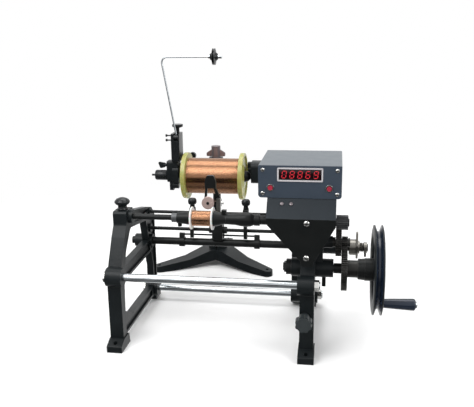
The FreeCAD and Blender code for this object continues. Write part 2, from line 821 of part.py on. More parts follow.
def gear_x(teeth, y, z, low, high, bore, tooth_at):
    """Spur gear about an X line. tooth_at is the angle of one tooth's centre, from +Y towards +Z."""
    pitch_radius = gear_module * teeth / 2
    tip = pitch_radius + gear_module
    root = pitch_radius - 1.25 * gear_module
    half_pitch = math.pi * gear_module / 4 - tooth_backlash / 2
    half_tip = half_pitch - gear_module * math.tan(math.radians(20))
    half_root = half_pitch + 1.25 * gear_module * math.tan(math.radians(20)) * 0.8
    points = []
    for index in range(teeth):
        centre = tooth_at + 2 * math.pi * index / teeth
        for radius, half in ((root, -half_root), (tip, -half_tip), (tip, half_tip), (root, half_root)):
            angle = centre + half / radius
            points.append(Vector(low, y + radius * math.cos(angle), z + radius * math.sin(angle)))
    body = Part.Face(Part.makePolygon(points + points[:1])).extrude(Vector(high - low, 0, 0))
    return body.cut(rod_x(y, z, bore, low - 1, high + 1))


def crank_gear():
    return gear_x(
        crank_teeth, crank_y, crank_z, outer_gear_left, outer_gear_left + gear_face,
        crank_shaft_radius + fixed_gap, up_the_train,
    )


def idler_gear():
    """Idler cluster: the wheel that drives the spindle, in one piece with the pinion that the crank drives."""
    low = inner_gear_left
    bore = idler_stud_radius + running_gap
    gap_half = math.pi / idler_pinion_teeth
    wheel = gear_x(idler_gear_teeth, idler_y, idler_z, low, low + gear_face, bore, up_the_train)
    hub = rod_x(idler_y, idler_z, 6.5, low + gear_face, outer_gear_left)
    hub = hub.cut(rod_x(idler_y, idler_z, bore, low, outer_gear_left + 1))
    pinion = gear_x(
        idler_pinion_teeth, idler_y, idler_z, outer_gear_left, outer_gear_left + gear_face, bore,
        up_the_train + math.pi + gap_half,
    )
    return fused(wheel, hub, pinion)


def idler_stud():
    """Shoulder stud of the idler, with its retaining head."""
    high = outer_gear_left + gear_face
    shank = rod_x(idler_y, idler_z, idler_stud_radius, idler_stud_root - 12, high + 3)
    shoulder = rod_x(idler_y, idler_z, 7.5, idler_stud_root + 8, inner_gear_left - slide_gap)
    head = rod_x(idler_y, idler_z, 6.5, high + slide_gap, high + 3.5)
    return fused(shank, shoulder, head)


def spindle_pinion():
    gap_half = math.pi / spindle_teeth
    low = inner_gear_left
    return gear_x(
        spindle_teeth, spindle_y, spindle_z, low, outer_gear_left + gear_face,
        spindle_radius - 1 + fixed_gap, up_the_train + math.pi + gap_half,
    )


def crank_shaft():
    """Shaft through the right stand, with its left collar and nut."""
    shaft = rod_x(crank_y, crank_z, crank_shaft_radius, crank_nut_left - 1.5, wheel_middle + wheel_web / 2 + 1)
    nut = prism(6, Vector(crank_nut_left, crank_y, crank_z), 15.0, Vector(1, 0, 0), crank_collar_left - crank_nut_left)
    collar = rod_x(
        crank_y, crank_z, crank_collar_radius, crank_collar_left, crank_boss_left - slide_gap
    )
    spacer = rod_x(crank_y, crank_z, 7.8, crank_boss_right + slide_gap, outer_gear_left - fixed_gap)
    return fused(shaft, nut, collar, spacer)


def crank_boss_screw():
    """Screw in the underside of the crank bearing."""
    low = crank_z - crank_boss_radius
    shank = rod_z(boss_screw_x, crank_y, boss_screw_radius, low - 15, low + 4)
    return shank


def wheel_hub():
    """Bright hub of the crank gear and the stepped black hub behind the hand wheel."""
    left = outer_gear_left + gear_face
    outline = [
        (left, crank_shaft_radius + fixed_gap), (left, gear_hub_radius), (gear_hub_right, gear_hub_radius),
        (gear_hub_right, 15.5), (wheel_hub_left, 16.2), (wheel_hub_left, wheel_hub_radius),
        (wheel_left + 5, wheel_hub_radius), (wheel_left + 5, crank_shaft_radius + fixed_gap),
    ]
    return turned_x(crank_y, crank_z, outline)


def hand_wheel():
    """Wheel with a V groove for a drive cord, four kidney holes in its web and a boss for the crank pin."""
    groove_radius = wheel_radius - groove_depth
    web_low = wheel_middle - wheel_web / 2
    web_high = wheel_middle + wheel_web / 2
    outline = [
        (web_low, crank_shaft_radius + fixed_gap), (web_low, rim_inner_radius - 2),
        (wheel_left + 2, rim_inner_radius), (wheel_left, rim_inner_radius + 6), (wheel_left, wheel_radius - 5),
        (wheel_left + 1.2, wheel_radius), (wheel_left + 1.2 + rim_tip, wheel_radius),
        (wheel_middle - groove_bottom / 2, groove_radius), (wheel_middle + groove_bottom / 2, groove_radius),
        (wheel_right - 1.2 - rim_tip, wheel_radius), (wheel_right - 1.2, wheel_radius),
        (wheel_right, wheel_radius - 5), (wheel_right, rim_inner_radius + 6), (wheel_right - 2, rim_inner_radius),
        (web_high, rim_inner_radius - 2), (web_high, 16), (web_high + 4, 14),
        (web_high + 4, crank_shaft_radius + fixed_gap),
    ]
    wheel = turned_x(crank_y, crank_z, outline)
    hub_seat = rod_x(crank_y, crank_z, wheel_hub_radius + fixed_gap, wheel_left - 1, wheel_left + 5)
    pin_hole = rod_x(crank_y, crank_z - handle_radius, handle_pin_radius + fixed_gap, wheel_left + 3, wheel_right + 1)
    kidneys = [kidney(index, web_low - 1, web_high + 1) for index in range(web_holes)]
    return wheel.cut([hub_seat, pin_hole] + kidneys)


def kidney(index, low, high):
    """Kidney-shaped hole between two spokes of the wheel."""
    centre = 2 * math.pi * (index + 0.5) / web_holes
    half = math.pi / web_holes - 0.22
    middle_radius = (web_hole_inner + web_hole_outer) / 2
    end_radius = (web_hole_outer - web_hole_inner) / 2
    spread = half - end_radius / middle_radius

    def at(radius, angle):
        return Vector(low, crank_y + radius * math.cos(angle), crank_z + radius * math.sin(angle))

    edges = [Part.Arc(*(at(web_hole_outer, centre + turn * spread) for turn in (-1, 0, 1))).toShape()]
    for turn, radii in ((1, (web_hole_outer, web_hole_inner)), (-1, (web_hole_inner, web_hole_outer))):
        end_angle = centre + turn * spread
        bulge = at(middle_radius, end_angle) + (
            Vector(0, -math.sin(end_angle), math.cos(end_angle)) * (turn * end_radius)
        )
        edges.append(Part.Arc(at(radii[0], end_angle), bulge, at(radii[1], end_angle)).toShape())
    edges.append(Part.Arc(*(at(web_hole_inner, centre + turn * spread) for turn in (1, 0, -1))).toShape())
    wire = Part.Wire(Part.__sortEdges__(edges))
    return Part.Face(wire).extrude(Vector(high - low, 0, 0))


def handle_pin():
    """Shouldered pin of the handle, screwed into the wheel's rim, with a domed head at the grip's end."""
    outline = [
        (wheel_left + 4, 0), (wheel_left + 4, handle_pin_radius), (grip_right + slide_gap, handle_pin_radius),
        (grip_right + slide_gap, 5.5), (grip_right + 1.8, 5.2), (grip_right + 3, 2.5), (grip_right + 3.2, 0),
    ]
    return turned_x(crank_y, handle_z, outline)


def handle_grip():
    """Tapered grip that turns freely on its pin."""
    bore = handle_pin_radius + running_gap
    outline = [
        (grip_left, bore), (grip_left, grip_root_radius - 0.8), (grip_left + 1, grip_root_radius),
        (grip_left + 20, grip_root_radius + 1.1), (grip_right - 6, grip_end_radius),
        (grip_right - 2, grip_end_radius), (grip_right, grip_end_radius - 2), (grip_right, bore),
    ]
    return turned_x(crank_y, handle_z, outline)


def stop_rod():
    reach = stand_x + rail_width / 2 + 2
    return rod_x(guide_y, stop_rod_z, stop_rod_radius, -reach, reach)


def guide_rod():
    reach = stand_x + rail_width / 2 + 2
    return rod_x(guide_y, guide_rod_z, guide_rod_radius, -reach, reach)


def shift_rail():
    """Round rail that slides through both stands and works the release at the right end."""
    return rod_x(guide_y, shift_rail_z, shift_rail_radius, shift_rail_left, shift_rail_right)


def trip_rod():
    """Thin rod above the shift rail, held in a clamp bracket at each end."""
    solids = [rod_x(guide_y, trip_rod_z, trip_rod_radius, trip_left - 4, trip_right + 4)]
    for x in (trip_left, trip_right):
        low = x - trip_bracket / 2
        high = x + trip_bracket / 2
        solids.append(rod_x(guide_y, shift_rail_z, shift_rail_radius + 2.5, low, high))
        solids.append(plate_x(
            [(guide_y - 5, shift_rail_z, 0), (guide_y + 5, shift_rail_z, 0),
             (guide_y + trip_cap, trip_rod_z + trip_cap, 1.8), (guide_y - trip_cap, trip_rod_z + trip_cap, 1.8)],
            low, high,
        ))
    body = fused(*solids)
    return body.cut(rod_x(guide_y, shift_rail_z, shift_rail_radius + fixed_gap, trip_left - 20, trip_right + 20))


def release_hub():
    """Hub on the right end of the shift rail, with the groove that its lever turns in."""
    groove = rail_hub_radius - 4.5
    outline = [
        (rail_hub_left, shift_rail_radius + fixed_gap), (rail_hub_left, rail_hub_radius - 2),
        (rail_hub_left + 2, rail_hub_radius), (lever_low - slide_gap, rail_hub_radius),
        (lever_low - slide_gap, groove), (lever_high + slide_gap, groove),
        (lever_high + slide_gap, groove + 1.5), (rail_hub_right + 1.5, groove + 1.5),
        (rail_hub_right + 1.5, shift_rail_radius + fixed_gap),
    ]
    return turned_x(guide_y, shift_rail_z, outline)


def release_lever():
    """Flat lever that turns about the hub."""
    groove = rail_hub_radius - 4.5
    body = plate_x(
        [(guide_y - 3.5, shift_rail_z - 19.5, 3), (guide_y + 3.5, shift_rail_z - 19.5, 3),
         (guide_y + rail_hub_radius, shift_rail_z - 6, 5), (guide_y + rail_hub_radius, shift_rail_z + 6, 5),
         (guide_y + 3.5, shift_rail_z + 27, 3), (guide_y - 3.5, shift_rail_z + 27, 3),
         (guide_y - rail_hub_radius, shift_rail_z + 6, 5), (guide_y - rail_hub_radius, shift_rail_z - 6, 5)],
        lever_low, lever_high,
    )
    return body.cut(rod_x(guide_y, shift_rail_z, groove + running_gap, lever_low - 1, lever_high + 1))


def rail_spring():
    """Short compression spring between the hub and its adjusting nut."""
    return wound_layer(
        guide_y, shift_rail_z, rail_spring_radius, rail_hub_right + 1.6, rail_nut_left - fixed_gap,
        rail_spring_turns, rail_spring_wire, "rail spring",
    )


def rail_nut():
    """Round adjusting nut of the spring, with a pin to turn it by."""
    body = rod_x(guide_y, shift_rail_z, 9.0, rail_nut_left, rail_nut_left + rail_nut_width)
    pin = rod_z(rail_nut_left + rail_nut_width / 2, guide_y, 2.0, shift_rail_z - 16, shift_rail_z - 7)
    body = fused(body, pin)
    return body.cut(rod_x(guide_y, shift_rail_z, shift_rail_radius + fixed_gap, rail_nut_left - 1, rail_nut_left + 8))


def carriage():
    """Block that slides on the guide rod, straddles the trip rod and carries the guide arm on a post."""
    low = carriage_x - carriage_width / 2
    high = carriage_x + carriage_width / 2
    front = guide_y - carriage_depth / 2
    rear = guide_y + carriage_depth / 2
    bottom = shift_rail_z + shift_rail_radius + 0.4
    body = plate_x(
        [(front, bottom, 1.5), (rear, bottom, 1.5), (rear, guide_rod_z + 12, 3), (guide_y + 7, guide_rod_z + 22, 2),
         (guide_y - 7, guide_rod_z + 22, 2), (front, guide_rod_z + 12, 3)],
        low, high,
    )
    collars = rod_x(guide_y, guide_rod_z, 6.0, low - 6.5, high + 6.5)
    post = block(
        (carriage_x - 3.5, guide_y + stop_rod_radius + 1.7, guide_rod_z + 8),
        (carriage_x + 3.5, fork_front, fork_foot_z + 16),
    )
    screw_y = (guide_y + stop_rod_radius + 1.7 + fork_front) / 2
    clamp_screw = rod_x(screw_y, fork_foot_z + 9, 1.6, carriage_x, carriage_x + 7)
    clamp_head = rod_x(screw_y, fork_foot_z + 9, 3.6, carriage_x + 7, carriage_x + 9)
    body = fused(body, collars, post, clamp_screw, clamp_head)
    slot_top = trip_rod_z + trip_cap + 0.7
    slot = block((low - 10, guide_y - trip_gap, bottom - 1), (high + 10, guide_y + trip_gap, slot_top))
    return body.cut([rod_x(guide_y, guide_rod_z, guide_rod_radius + running_gap, low - 10, high + 10), slot])


def guide_arm():
    """Forked arm above the carriage: a crosshead with two legs, and the axle of the guide pulley."""
    half = fork_head_width / 2
    shoulder = fork_head_low + fork_shoulder
    left_foot = fork_x - half - 3
    tie_low = guide_pulley_z - fork_tie / 2
    head = [
        (fork_x - 6, fork_head_high, 3), (fork_x + 6, fork_head_high, 3), (fork_x + half, shoulder, 3),
        (fork_x + half, fork_head_low, 2), (fork_x - half, fork_head_low, 2), (fork_x - half, shoulder, 3),
    ]
    left_leg = [
        (fork_x - half + 1, fork_head_low + 3, 0), (fork_x - half + 1 + fork_leg, fork_head_low + 3, 0),
        (left_foot + fork_leg, fork_foot_z, 1.5), (left_foot, fork_foot_z, 1.5),
    ]
    right_leg = [
        (fork_x + half - 1 - fork_leg, fork_head_low + 3, 0), (fork_x + half - 1, fork_head_low + 3, 0),
        (carriage_x + 3.5, fork_foot_z + 12, 2), (carriage_x + 3.5, fork_foot_z, 1), (carriage_x - 3, fork_foot_z, 1),
        (carriage_x - 3, fork_foot_z + 12, 2),
    ]
    tie = [
        (left_foot + 1, tie_low, 0), (carriage_x, tie_low, 0), (carriage_x, tie_low + fork_tie, 0),
        (left_foot + 1, tie_low + fork_tie, 0),
    ]
    plates = [plate_y(outline, fork_front, fork_rear) for outline in (head, left_leg, right_leg, tie)]
    axle = rod_y(
        guide_pulley_x, guide_pulley_z, guide_pulley_bore,
        fork_front - guide_pulley_width - 2 * slide_gap - 1, fork_front + 1,
    )
    cap_rear = fork_front - guide_pulley_width - 2 * slide_gap
    cap = rod_y(guide_pulley_x, guide_pulley_z, 2.6, cap_rear - 0.8, cap_rear)
    return fused(*plates, axle, cap)


def guide_pulley():
    """Grooved roller that the wire runs over."""
    y_high = fork_front - slide_gap
    y_low = y_high - guide_pulley_width
    bore = guide_pulley_bore + running_gap
    points = [
        (bore, y_low), (guide_pulley_radius, y_low), (guide_pulley_radius - 2.5, (y_low + y_high) / 2),
        (guide_pulley_radius, y_high), (bore, y_high),
    ]
    corners = [Vector(guide_pulley_x + radius, y, guide_pulley_z) for radius, y in points]
    face = Part.Face(Part.makePolygon(corners + corners[:1]))
    return face.revolve(Vector(guide_pulley_x, 0, guide_pulley_z), Vector(0, 1, 0), 360)


def travel_stop(x):
    """Clamp on the stop rod, with a leg that reaches down beside the trip rod."""
    low = x - stop_width / 2
    high = x + stop_width / 2
    clamp = plate_x(
        [(guide_y - 7, stop_rod_z - 6, 3), (guide_y + 7, stop_rod_z - 6, 3), (guide_y + 7, stop_rod_z + 9, 3),
         (guide_y - 7, stop_rod_z + 9, 3)],
        low, high,
    )
    leg = plate_x(
        [(guide_y - 12, trip_rod_z - 3, 2), (guide_y - 5.2, trip_rod_z - 3, 2), (guide_y - 5.2, stop_rod_z, 0),
         (guide_y - 12, stop_rod_z, 4)],
        low + 1.5, high - 1.5,
    )
    body = fused(clamp, leg)
    return body.cut([
        rod_x(guide_y, stop_rod_z, stop_rod_radius + running_gap, low - 1, high + 1),
        rod_z(x, guide_y, 2.0 + running_gap, stop_rod_z, stop_rod_z + 12),
    ])


def stop_knob(x):
    """Thumb knob that clamps a travel stop."""
    seat = stop_rod_z + 9 + slide_gap
    outline = [
        (0, stop_rod_z + stop_rod_radius + slide_gap), (2, stop_rod_z + stop_rod_radius + slide_gap), (2, seat),
        (4.5, seat), (4, seat + 5), (stop_knob_radius - 1, seat + 6.5), (stop_knob_radius, seat + 9),
        (stop_knob_radius, seat + 13), (stop_knob_radius - 1.5, seat + 16), (0, seat + 17.5),
    ]
    return turned_z(x, guide_y, outline)


def band_front(z):
    """Y of the band's front face at a height."""
    share = (z - bracket_bend_z) / (counter_bottom - bracket_bend_z)
    return bracket_front + (shelf_front - bracket_front) * share


def band_screw_points():
    return [Vector(sensor_x + offset, band_front(sensor_screw_z), sensor_screw_z) for offset in (-6.6, 6.6)]


def counter_bracket():
    """Bent sheet: a V plate screwed to the right stand, a band that leans back, and the counter's shelf."""
    middle = bracket_screw_x + 1.5
    tip = bracket_tip_width / 2
    plate = plate_y(
        [(bracket_left, bracket_bend_z, 0), (bracket_left, bracket_bend_z - 8, 2), (middle - tip, bracket_tip_z + 8, 4),
         (middle - tip + 2, bracket_tip_z, 3), (middle + tip - 2, bracket_tip_z, 3),
         (middle + tip, bracket_tip_z + 8, 4), (bracket_right, bracket_bend_z - 10, 2),
         (bracket_right, bracket_bend_z, 0)],
        bracket_front, bracket_front + sheet,
    )
    band = plate_x(
        [(bracket_front, bracket_bend_z, 0), (bracket_front + band_thick, bracket_bend_z, 0),
         (shelf_front + band_thick, counter_bottom, 0), (shelf_front, counter_bottom, 0)],
        bracket_left, bracket_right,
    )
    shelf = block((bracket_left, shelf_front, counter_bottom - sheet), (bracket_right, counter_rear - 8, counter_bottom))
    body = fused(plate, band, shelf)
    holes = [
        rod_y(bracket_screw_x, z, bracket_screw_radius + fixed_gap, bracket_front - 1, bracket_front + sheet + 1)
        for z in bracket_screw_z
    ]
    holes += [
        Part.makeCylinder(sensor_screw_radius + fixed_gap, 8, point + band_out * 3, band_out * -1)
        for point in band_screw_points()
    ]
    return body.cut(holes)


def screw(face, outward, head_radius, head, shank_radius, length):
    """Domed screw whose head sits on a face, with its shank going in."""
    dome = Part.makeCone(head_radius, head_radius * 0.65, head, face, outward)
    shank = Part.makeCylinder(shank_radius, length + head / 2, face + outward * (head / 2), outward * -1)
    return fused(dome, shank)


def counter_outline(wall):
    """Front outline of the counter, moved in by a wall: small radii above, larger ones below."""
    left = counter_left + wall
    right = counter_right - wall
    low = counter_bottom + wall
    high = counter_top - wall
    return [
        (left, low, corner_low - wall), (right, low, corner_low - wall), (right, high, corner_high),
        (left, high, corner_high),
    ]


def counter_case():
    """Folded sheet case, open at the front, with a cable gland's collar at the rear."""
    panel_back = counter_front + panel_thickness
    outer = plate_y(counter_outline(0), panel_back, counter_rear)
    inner = plate_y(counter_outline(case_wall), panel_back - 1, counter_rear - case_wall)
    gland = rod_y(counter_left + 30, counter_bottom + 16, 6.0, counter_rear - case_wall, counter_rear + 8)
    body = fused(outer.cut(inner), gland)
    return body.cut(rod_y(counter_left + 30, counter_bottom + 16, 3.0, counter_rear - 6, counter_rear + 9))


def panel_points():
    inset_x = panel_screw_inset
    return [
        (counter_left + inset_x, counter_top - inset_x), (counter_right - inset_x, counter_top - inset_x),
        (counter_left + inset_x, counter_bottom + inset_x), (counter_right - inset_x, counter_bottom + inset_x),
    ]


def window_edges():
    left = counter_left + window_left
    top = counter_top - window_top
    return left, left + window_width, top - window_height, top


def front_panel():
    panel = plate_y(counter_outline(0), counter_front, counter_front + panel_thickness)
    left, right, low, high = window_edges()
    cuts = [block((left, counter_front - 1, low), (right, counter_front + panel_thickness + 1, high))]
    for x, z in button_centres:
        cuts.append(rod_y(x, z, button_radius + slide_gap, counter_front - 1, counter_front + panel_thickness + 1))
    for x, z in panel_points():
        cuts.append(rod_y(x, z, 1.5 + fixed_gap, counter_front - 1, counter_front + panel_thickness + 1))
    return panel.cut(cuts)


def display_window():
    """Raised frame of the display with its dark lens."""
    left, right, low, high = window_edges()
    edge = 2.2
    gap = fixed_gap
    frame = block((left - edge, counter_front - 1.2, low - edge), (right + edge, counter_front, high + edge))
    lens = block(
        (left + gap, counter_front - 0.4, low + gap), (right - gap, counter_front + panel_thickness, high - gap)
    )
    hole = block((left + gap, counter_front - 2, low + gap), (right - gap, counter_front + 1, high - gap))
    return fused(frame.cut(hole), lens)


def push_button(index):
    """Round push button with a collar behind the panel."""
    x, z = button_centres[index]
    behind = counter_front + panel_thickness
    cap = rod_y(x, z, button_radius, counter_front - 2.6, behind + 0.6)
    collar = rod_y(x, z, button_radius + 1.4, behind + 0.3, behind + 2.0)
    return fused(cap, collar)


def button_switches():
    """Bezel around each button, and the switch body behind it, both carried by the panel."""
    solids = []
    behind = counter_front + panel_thickness
    for x, z in button_centres:
        body = block((x - 7, behind + 0.01, z - 7), (x + 7, behind + 8, z + 7))
        well = rod_y(x, z, button_radius + 1.8, behind - 1, behind + 2.0 + button_travel + 0.4)
        solids.append(body.cut(well))
        bezel = rod_y(x, z, bezel_radius, counter_front - bezel_height, counter_front)
        solids.append(bezel.cut(rod_y(x, z, button_radius + slide_gap, counter_front - 3, counter_front + 1)))
    return group(*solids)


def counter_screws():
    """Four screws of the front panel, two larger ones of the bracket and two of the sensor."""
    front = Vector(0, -1, 0)
    screws = [screw(Vector(x, counter_front, z), front, 2.9, 1.6, 1.5, 6) for x, z in panel_points()]
    screws += [
        screw(Vector(bracket_screw_x, bracket_front, z), front, 4.3, 2.6, bracket_screw_radius, 12)
        for z in bracket_screw_z
    ]
    screws += [screw(point, band_out, 2.8, 1.5, sensor_screw_radius, 4.6) for point in band_screw_points()]
    return group(*screws)


def count_sensor():
    """Sensor block on a bent strip behind the bracket's band, over the magnet collar."""
    low = sensor_screw_z - 8
    high = sensor_screw_z + 4
    rear = band_thick + 0.02
    tab = plate_x(
        [(band_front(low) + rear, low, 0), (band_front(low) + rear + sheet, low, 0),
         (band_front(high) + rear + sheet, high, 0), (band_front(high) + rear, high, 0)],
        sensor_x - 10, sensor_x + 10,
    )
    strip = block(
        (sensor_x - 10, band_front(low) + rear + 1.9, low), (sensor_x + 10, spindle_y + 6, low + sheet)
    )
    head = block((sensor_x - 6, spindle_y - 6, spindle_z + 12.2), (sensor_x + 6, spindle_y + 6, low + 1))
    holes = [
        Part.makeCylinder(sensor_screw_radius + fixed_gap, 8, point, band_out * -1) for point in band_screw_points()
    ]
    return fused(strip, head, tab).cut(holes)


def leg_knob():
    """Lobed clamp knob on the front of the right leg."""
    x = stand_x - 3
    front = leg_front - 27
    stud = rod_y(x, leg_knob_z, leg_stud_radius, front + 10, leg_front + 8)
    neck = rod_y(x, leg_knob_z, 8.0, front + 14, leg_front - 3 - slide_gap)
    lobe = 3.4
    solids = [rod_y(x, leg_knob_z, leg_knob_radius - 2, front, front + 15), neck, stud]
    for index in range(leg_knob_lobes):
        angle = 2 * math.pi * (index + 0.5) / leg_knob_lobes
        reach = leg_knob_radius - lobe
        solids.append(
            rod_y(x + reach * math.cos(angle), leg_knob_z + reach * math.sin(angle), lobe, front + 1.5, front + 13.5)
        )
    return fused(*solids)


def stand_base():
    """Three-armed cast base that stands on the tips of its arms, with a split boss for the post."""
    root = arm_root_half
    tip = arm_tip_radius
    reach = arm_reach
    solids = [rod_z(base_x, base_y, base_boss_radius, 14, base_boss_top)]
    for angle in (-30, 90, 210):
        plan = plate_z(
            [(base_x, base_y - root, 0), (base_x + reach, base_y - tip, 0), (base_x + reach, base_y + tip, 0),
             (base_x, base_y + root, 0)],
            -1, base_boss_top,
        )
        plan = fused(plan, rod_z(base_x + reach, base_y, tip, -1, base_boss_top))
        side = Part.Face(Part.makePolygon([
            Vector(base_x, base_y - 60, 16), Vector(base_x + reach - 24, base_y - 60, 0),
            Vector(base_x + reach + tip + 1, base_y - 60, 0),
            Vector(base_x + reach + tip + 1, base_y - 60, arm_tip_height),
            Vector(base_x + reach - 4, base_y - 60, arm_tip_height + 2),
            Vector(base_x + reach * 0.52, base_y - 60, arm_middle_height),
            Vector(base_x + base_boss_radius + 6, base_y - 60, arm_root_height),
            Vector(base_x, base_y - 60, arm_root_height), Vector(base_x, base_y - 60, 16),
        ])).extrude(Vector(0, 120, 0))
        arm = plan.common(side)
        arm = arm.cut(rod_z(base_x + reach, base_y, bolt_hole_radius, -2, 40))
        arm.rotate(Vector(base_x, base_y, 0), Vector(0, 0, 1), angle)
        solids.append(arm)
    body = fused(*solids)
    slit = block((base_x - 1.5, base_y - 40, arm_root_height), (base_x + 1.5, base_y, base_boss_top + 1))
    return body.cut([rod_z(base_x, base_y, post_radius + fixed_gap, 20, 80), slit])


def stand_post():
    return rod_z(base_x, base_y, post_radius, 20, post_top)


def yoke_arm(low, high, bottom, top):
    """Arm of the yoke, from the cross bar forward to the axle."""
    return plate_x(
        [(axle_y - 14, bottom + 3, 10), (axle_y + 16, bottom, 10), (yoke_bar_y + 9, axle_z - 10, 6),
         (yoke_bar_y + 9, axle_z + 10, 6), (axle_y + 16, top, 8), (axle_y - 14, top, 10)],
        low, high,
    )


def spool_yoke():
    """Swivelling yoke on top of the post: a cross bar, an arm at each end, and the clamps of the axle."""
    left_end = yoke_left + yoke_left_arm
    right_end = yoke_right + yoke_right_arm
    hub = rod_z(base_x, base_y, yoke_hub_radius, yoke_hub_low, yoke_hub_high)
    bar = rod_x(yoke_bar_y, axle_z, yoke_bar_radius, yoke_left, right_end)
    left_arm = yoke_arm(yoke_left, left_end, axle_z - 18, axle_z + 20)
    right_arm = yoke_arm(yoke_right, right_end, axle_z - 14, axle_z + 29)
    tip = plate_x(
        [(axle_y - 4, axle_z + 17, 0), (axle_y + 8, axle_z + 17, 0), (axle_y + 8, axle_z + 28, 3),
         (axle_y - 4, axle_z + 28, 3)],
        yoke_right - 7, yoke_right + 2,
    )
    clamp = plate_x(
        [(axle_y - 12, axle_z - 13, 8), (axle_y + 12, axle_z - 13, 8), (axle_y + 12, tension_bottom - 1, 4),
         (axle_y - 12, tension_bottom - 1, 4)],
        clamp_left, yoke_left + 1,
    )
    lug = plate_x(
        [(axle_y - 8, axle_z - 29, 2), (axle_y + 4, axle_z - 29, 2), (axle_y + 4, axle_z, 0),
         (axle_y - 8, axle_z, 0)],
        clamp_left + 4, yoke_left,
    )
    roller = rod_x(axle_y - 2, axle_z - 19.5, 6.5, yoke_left - 1, left_end - 2)
    screw_shank = rod_x(axle_y, clamp_screw_z, 3.0, clamp_left - 8, clamp_left + 2)
    wings = plate_y(
        [(clamp_left - 20, clamp_screw_z + 6.5, 2), (clamp_left - 5, clamp_screw_z + 4, 2),
         (clamp_left - 5, clamp_screw_z - 4, 2), (clamp_left - 15, clamp_screw_z - 6.5, 2)],
        axle_y - 2.2, axle_y + 2.2,
    )
    rear_stud = rod_z(yoke_left + 25, yoke_bar_y, 3.0, axle_z, axle_z + 26)
    rear_knob = rod_y(yoke_left + 25, axle_z + 28, 7.0, yoke_bar_y - 4, yoke_bar_y + 4)
    tongue = plate_x(
        [(tension_front + 4, axle_z + 8, 0), (tension_front + tension_depth - 4, axle_z + 8, 0),
         (tension_front + tension_depth - 4, tension_bottom, 0), (tension_front + 4, tension_bottom, 0)],
        yoke_left + 1, left_end - 1,
    )
    body = fused(
        hub, bar, left_arm, right_arm, tip, clamp, lug, roller, screw_shank, wings, rear_stud, rear_knob, tongue
    )
    return body.cut([
        rod_z(base_x, base_y, post_radius + running_gap, yoke_hub_low - 10, yoke_hub_high + 10),
        rod_x(axle_y, axle_z, axle_radius + running_gap, clamp_left - 5, right_end + 5),
    ])


def post_nut():
    """Round nut with a flange and two wings, which clamps the yoke on the post."""
    body = rod_z(base_x, base_y, post_nut_radius, post_nut_low, post_nut_high)
    flange = rod_z(base_x, base_y, post_nut_radius + 5, post_nut_low, post_nut_low + 5)
    wings = plate_y(
        [(base_x - 19, 229, 2), (base_x + 19, 229, 2), (base_x + 19, 236, 3), (base_x + 8, 243, 2),
         (base_x - 8, 243, 2), (base_x - 19, 236, 3)],
        base_y - 2.5, base_y + 2.5,
    )
    bore = rod_z(base_x, base_y, post_radius + running_gap, post_nut_low - 1, post_top + 0.6)
    return fused(body, flange, wings).cut(bore)


def spool_axle():
    """Axle of the supply spool, with a cone hub at each side and the locking knob at its left end."""
    left = spool_left
    right = spool_left + spool_length
    outline = [
        (clamp_left - 33, 0), (clamp_left - 33, 2), (clamp_left - 25, 2), (clamp_left - 25, 9),
        (clamp_left - 23, 10), (clamp_left - 3, 10), (clamp_left - 1, 9), (clamp_left - 1, axle_radius),
        (left - 6.5, axle_radius), (left - 6.5, 11), (left - slide_gap, 16), (left - slide_gap, 7.5), (left + 6, 7.5),
        (left + 6, axle_radius), (right - 6, axle_radius), (right - 6, 7.5), (right, 7.5), (right, 11),
        (right + 7, 9), (right + 11, axle_radius),
        (yoke_right + yoke_right_arm + 6, axle_radius), (yoke_right + yoke_right_arm + 6, 0),
    ]
    return turned_x(axle_y, axle_z, outline)


def supply_spool():
    """Moulded spool with two dished flanges."""
    left = spool_left
    right = spool_left + spool_length
    bore = spool_bore_radius
    outline = [
        (left, bore), (left, 20), (left + 2.5, 24), (left + 2.5, 38), (left, 40), (left, spool_flange_radius),
        (left + spool_flange, spool_flange_radius), (left + spool_flange, spool_barrel_radius),
        (right - spool_flange, spool_barrel_radius), (right - spool_flange, spool_flange_radius),
        (right, spool_flange_radius), (right, 40), (right - 2.5, 38), (right - 2.5, 24), (right, 20), (right, bore),
    ]
    return turned_x(axle_y, axle_z, outline)


def supply_winding():
    """Copper core with its outer layer of turns."""
    low = spool_left + spool_flange + fixed_gap
    high = spool_left + spool_length - spool_flange - fixed_gap
    core = rod_x(axle_y, axle_z, spool_copper_radius - supply_wire - fixed_gap, low, high)
    core = core.cut(rod_x(axle_y, axle_z, spool_barrel_radius + fixed_gap, low - 1, high + 1))
    layer = wound_layer(
        axle_y, axle_z, spool_copper_radius - supply_wire / 2, low, high, supply_turns, supply_wire, "supply"
    )
    return group(core, layer)


def tensioner_case():
    """Upright case of the wire tensioner on the yoke's left arm, with its two side screws and the arm's pin."""
    right = tension_left + tension_width
    rear = tension_front + tension_depth
    top = tension_bottom + tension_height
    body = plate_z(
        [(tension_left, tension_front, 2), (right, tension_front, 2), (right, rear, 2), (tension_left, rear, 2)],
        tension_bottom, top,
    )
    slot_rear = arm_y + arm_hub_radius + 3.5
    slot_low = arm_pivot_z - arm_hub_radius - 1.5
    slot = block((arm_slot_left, tension_front - 1, slot_low), (arm_slot_right, slot_rear, top + 1))
    pin = rod_x(arm_y, arm_pivot_z, arm_pivot_radius, tension_left + 1, right - 0.5)
    screws = []
    for z in (top - 6, top - 15):
        screws.append(rod_x(arm_y + 17, z, 1.3, tension_left - 12, tension_left + 1))
        screws.append(rod_x(arm_y + 17, z, 2.6, tension_left - 15, tension_left - 12))
    thumb_hole = rod_z(
        tension_left + tension_width - 6.5, tension_front + 19, tension_stud_radius + running_gap, top - 11, top + 1
    )
    return fused(body.cut([slot, thumb_hole]), pin, *screws)


